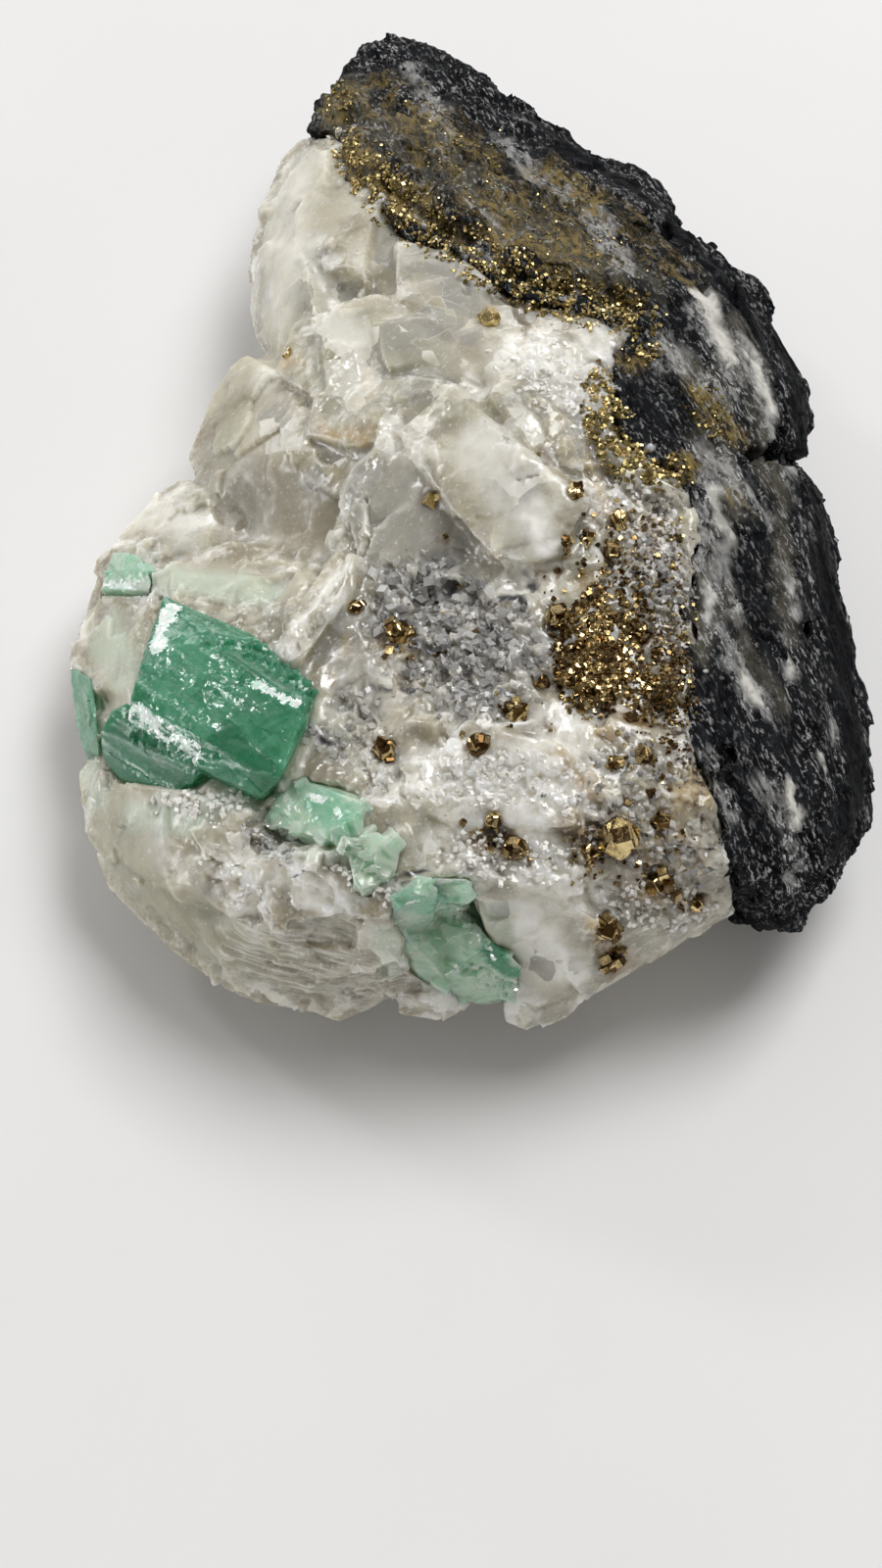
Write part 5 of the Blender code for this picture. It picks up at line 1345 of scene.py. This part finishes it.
class PyriteSettings(PropertyGroup):
    """The pyrite's colours"""
    bright: colour_setting("Bright", "Fresh faces", (0.86, 0.68, 0.34))
    dull: colour_setting("Dull", "Tarnished faces", (0.1, 0.055, 0.02))
    olive: colour_setting("Olive", "Tarnished grains on the shale", (0.2, 0.16, 0.06))


class StageSettings(PropertyGroup):
    """The table's colour and the lights"""
    floor: colour_setting("Floor", "Colour of the table", (0.84, 0.84, 0.84))
    sky: FloatProperty(name="Sky", description="Strength of the light from all round", default=0.4)
    tint: colour_setting("Sky tint", "Colour of the light from all round", (1.0, 0.96, 0.93))
    window: power_setting("Window", "Power of the large light on the right", 4.35)
    front: power_setting("Front wall", "Power of the low strip of light in front", 0.6)
    lamp: power_setting("Lamp", "Power of the small light that makes the glints", 0.65)
    walls: power_setting("Walls", "Power of each low strip of light at the left and behind", 1.2)


class SPECIMEN_OT_calcite(Operator):
    """Rebuild the calcite vein with its cleavage faces and stains"""
    bl_idname = "specimen.calcite"
    bl_label = "Calcite"

    def execute(self, context):
        look = picked("specimen_calcite")
        base = tree_of(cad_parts["calcite"])
        both = tree_of(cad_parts["calcite"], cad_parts["shale"])
        rock = joined("calcite_vein", vein_bodies(base, both, look.growth))
        evenly_meshed(rock, look.spacing)
        cleave_vein(rock, base)
        thinned(rock, look.triangles)
        finished_rock(rock, both, vein_zones(), calcite_finish())
        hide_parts("calcite")
        return {"FINISHED"}


class SPECIMEN_OT_shale(Operator):
    """Rebuild the shale with its layers and grit"""
    bl_idname = "specimen.shale"
    bl_label = "Shale"

    def execute(self, context):
        look = picked("specimen_shale")
        base = tree_of(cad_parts["shale"])
        both = tree_of(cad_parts["calcite"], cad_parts["shale"])
        bodies = [node_copy("shale", look.growth)]
        bodies += [node_copy(name, CRUST_GROWTH) for name in SHALE_CRUSTS]
        bodies += lumps_along(both, CONTACT_LINE, 0.6, 0.6, random.Random(12))
        rock = evenly_meshed(joined("shale_rock", bodies), look.spacing)
        places, outward = points_of(rock)
        grain = np.array(SHALE_GRAIN)
        squeezed = places - np.outer(places @ grain, grain) * 0.65
        shift = rough_at(squeezed, 1.0, 4) * 0.2 * MM
        shift += np.abs(noise_at(squeezed, 0.5, 20)) * -0.22 * MM
        shift += cleaved(squeezed, cell=1.5, slope=0.3, step=0.15, turn=(0, 0, 0))[0]
        shift *= 1 - 0.6 * zone_share(places, base, SHALE_ZONES["rim"])
        places += outward * shift[:, None]
        places[:, 2] = np.maximum(places[:, 2], 0)
        moved(rock, places)
        thinned(rock, look.triangles)
        finished_rock(rock, base, SHALE_ZONES, shale_finish())
        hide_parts("shale")
        return {"FINISHED"}


class SPECIMEN_OT_emeralds(Operator):
    """Grow the emeralds with their lines and chipped edges"""
    bl_idname = "specimen.emeralds"
    bl_label = "Emeralds"

    def execute(self, context):
        look = picked("specimen_emerald")
        deep = emerald_finish("emerald", look.deep, look.pale, 0.35, look.clearness, look.density)
        pale = emerald_finish("pale_emerald", look.pale, look.milky, 0.8, look.clearness * 0.55,
                              look.density * 0.35)
        frost_glare_material = frost_glare_finish()
        chance = random.Random(7)
        base = tree_of(*nodes_named("emerald"))
        ground = tree_of(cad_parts["calcite"], *nodes_named("emerald"))
        for name in [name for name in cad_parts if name.startswith("emerald")]:
            crystal = joined(name + "_crystal", emerald_bodies(name, look.growth, ground, chance))
            evenly_meshed(crystal, look.spacing)
            line_emerald(crystal, base, look.lines)
            mark_zones(crystal, base, EMERALD_ZONES)
            stored(crystal.data, "pallor", [PALLOR.get(name, 0.0)] * len(crystal.data.vertices))
            crystal.data.shade_smooth()
            crystal.data.set_sharp_from_angle(angle=EMERALD_SHARP)
            finish_with(crystal, deep if name in ("emerald_main", "emerald_edge_sliver") else pale)
            give_frost_glare(crystal, base, frost_glare_material)
            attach(crystal, "root")
            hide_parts(name)
        return {"FINISHED"}


class SPECIMEN_OT_pyrite_crystals(Operator):
    """Finish the single pyrite crystals"""
    bl_idname = "specimen.pyrite_crystals"
    bl_label = "Pyrite crystals"

    def execute(self, context):
        look = picked("specimen_pyrite")
        metal = pyrite_finish("pyrite", look.bright, look.dull, 0.0)
        chance = random.Random(21)
        for name in [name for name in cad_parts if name.startswith("pyrite") and "crust" not in name]:
            crystal = joined(name + "_crystal", intergrown(name, chance))
            choices = PYRITE_TONES.get(name, MIXED)
            stored(crystal.data, "tone", [chance.choice(choices) for _ in crystal.data.polygons], "FACE")
            finish_with(crystal, metal)
            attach(crystal, "root")
            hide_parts(name)
        return {"FINISHED"}


class SPECIMEN_OT_pyrite_grains(Operator):
    """Spread the grains of the crusts and the dust round them"""
    bl_idname = "specimen.pyrite_grains"
    bl_label = "Pyrite grains"

    def execute(self, context):
        look = picked("specimen_pyrite")
        chance = random.Random(3)
        ground = tree_of(bpy.data.objects["calcite_vein"], bpy.data.objects["shale_rock"])
        olive = pyrite_finish("pyrite_crust", look.bright, look.olive, 0.6, 0.18)
        brown = pyrite_finish("pyrite_crust_brown", look.bright, look.dull, 0.85)
        groups = [(name + "_grains", bands, name) for name, bands in GRAIN_BANDS.items()]
        groups += [(name, bands, None) for name, bands in DUST_BANDS.items()]
        groups.append(("pyrite_specks", [], None))
        for name, bands, node in groups:
            is_close = name.endswith(("mass_grains", "brown_grains"))
            spots = scattered(ground, bands, chance, 0.7 if is_close else 0.9)
            if name == "pyrite_specks":
                spots = [(*place_in_view(ground, across, up), radius) for across, up, radius in SPECKS]
            grains = rubble(name, CUBE_CORNERS / 1.4, CUBE_FACES, spots, chance, 0.2, (0.3, 1.3))
            finish_with(grains, brown if name in BROWN_GRAINS else olive)
            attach(grains, "root")
            if node:
                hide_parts(node)
        return {"FINISHED"}


class SPECIMEN_OT_calcite_crystals(Operator):
    """Stand small clear crystals on the sugary parts of the vein"""
    bl_idname = "specimen.calcite_crystals"
    bl_label = "Calcite crystals"

    def execute(self, context):
        chance = random.Random(5)
        ground = tree_of(bpy.data.objects["calcite_vein"])
        for name, bands in SUGAR_BANDS.items():
            spots = scattered(ground, bands, chance)
            shade = zone_share(np.array([spot[0] for spot in spots]), ground, CALCITE_ZONES["dark"])
            spots = [spot for spot, inside in zip(spots, shade) if inside < 0.4]
            sugar = rubble(name, rhomb_corners(), CUBE_FACES, spots, chance, -0.1, (0.5, 1.7))
            finish_with(sugar, sugar_finish(name, *SUGAR_LOOKS[name]))
            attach(sugar, "root")
        return {"FINISHED"}


def set_table(look):
    """The plain pale table that the specimen lies on."""
    mesh = bpy.data.meshes.new("table")
    corners = [(x * TABLE_HALF, y * TABLE_HALF, 0) for x, y in ((-1, -1), (1, -1), (1, 1), (-1, 1))]
    mesh.from_pydata(corners, [], [(0, 1, 2, 3)])
    table = new_object("table", mesh)
    paint = Shading("table")
    clouds = paint.spread(paint.noise(40.0, 3), 0.3, 0.7)
    paint.link(paint.mix(clouds, look.floor, [part * 0.97 for part in look.floor]), "Base Color")
    paint.set(Roughness=0.6)
    finish_with(table, paint.material)


def set_sky(look):
    """Soft light from all round, brightest behind and above."""
    world = bpy.data.worlds.new("sky")
    world.use_nodes = True
    nodes = world.node_tree.nodes
    links = world.node_tree.links
    nodes["Background"].inputs["Strength"].default_value = look.sky
    way = nodes.new("ShaderNodeTexCoord")
    lean = nodes.new("ShaderNodeVectorMath")
    lean.operation = "DOT_PRODUCT"
    lean.inputs[1].default_value = SKY_SIDE
    shade = nodes.new("ShaderNodeMapRange")
    for name, value in (("From Min", -0.3), ("From Max", 0.9), ("To Min", 0.25)):
        shade.inputs[name].default_value = value
    tint = nodes.new("ShaderNodeVectorMath")
    tint.operation = "SCALE"
    tint.inputs[0].default_value = look.tint
    links.new(way.outputs["Generated"], lean.inputs[0])
    links.new(lean.outputs["Value"], shade.inputs["Value"])
    links.new(shade.outputs["Result"], tint.inputs["Scale"])
    links.new(tint.outputs[0], nodes["Background"].inputs["Color"])
    bpy.context.scene.world = world


def set_lights(look):
    """The window, the low strips of light round the table and the lamp."""
    for name, (setting, wide, high, place) in LIGHTS.items():
        light = bpy.data.lights.new(name, "AREA")
        light.energy = getattr(look, setting)
        light.shape = "RECTANGLE"
        light.size = wide
        light.size_y = high
        lamp = new_object(name, light)
        lamp.location = place
        lamp.rotation_euler = Vector(place).to_track_quat("Z", "Y").to_euler()


def set_camera():
    """The camera at the eye that the places are given from."""
    camera = bpy.data.cameras.new("camera")
    camera.lens = CAMERA_LENS
    camera.clip_start = 0.01
    seat = new_object("camera", camera)
    seat.location = EYE
    seat.rotation_euler = VIEW_LINE.to_track_quat("Z", "Y").to_euler()
    bpy.context.scene.camera = seat


class SPECIMEN_OT_stage(Operator):
    """Set the table, the lights and the camera"""
    bl_idname = "specimen.stage"
    bl_label = "Table, lights and camera"

    def execute(self, context):
        look = picked("specimen_stage")
        set_table(look)
        set_sky(look)
        set_lights(look)
        set_camera()
        context.scene.view_settings.view_transform = "Standard"
        return {"FINISHED"}


class SPECIMEN_PT_panel(Panel):
    """Lists the pieces and their settings"""
    bl_idname = "SPECIMEN_PT_panel"
    bl_label = "Specimen"
    bl_space_type = "VIEW_3D"
    bl_region_type = "UI"
    bl_category = "Specimen"

    def draw(self, context):
        for operator in OPERATORS:
            self.layout.operator(operator.bl_idname)
        for name, group in SETTINGS.items():
            box = self.layout.box()
            for setting in group.__annotations__:
                box.prop(getattr(context.scene, name), setting)


# The operators in the order in which they run, and the settings that they read
OPERATORS = (
    SPECIMEN_OT_calcite, SPECIMEN_OT_shale, SPECIMEN_OT_emeralds, SPECIMEN_OT_pyrite_crystals,
    SPECIMEN_OT_pyrite_grains, SPECIMEN_OT_calcite_crystals, SPECIMEN_OT_stage,
)
SETTINGS = {
    "specimen_calcite": CalciteSettings,
    "specimen_shale": ShaleSettings,
    "specimen_emerald": EmeraldSettings,
    "specimen_pyrite": PyriteSettings,
    "specimen_stage": StageSettings,
}


def register():
    for group in SETTINGS.values():
        bpy.utils.register_class(group)
    for name, group in SETTINGS.items():
        setattr(bpy.types.Scene, name, PointerProperty(type=group))
    for operator in OPERATORS:
        bpy.utils.register_class(operator)
    bpy.utils.register_class(SPECIMEN_PT_panel)


def unregister():
    bpy.utils.unregister_class(SPECIMEN_PT_panel)
    for operator in reversed(OPERATORS):
        bpy.utils.unregister_class(operator)
    for name in SETTINGS:
        delattr(bpy.types.Scene, name)
    for group in reversed(list(SETTINGS.values())):
        bpy.utils.unregister_class(group)


def main():
    """Makes all the pieces and the stage."""
    register()
    for operator in OPERATORS:
        group, name = operator.bl_idname.split(".")
        getattr(getattr(bpy.ops, group), name)()


if __name__ == "__main__":
    main()
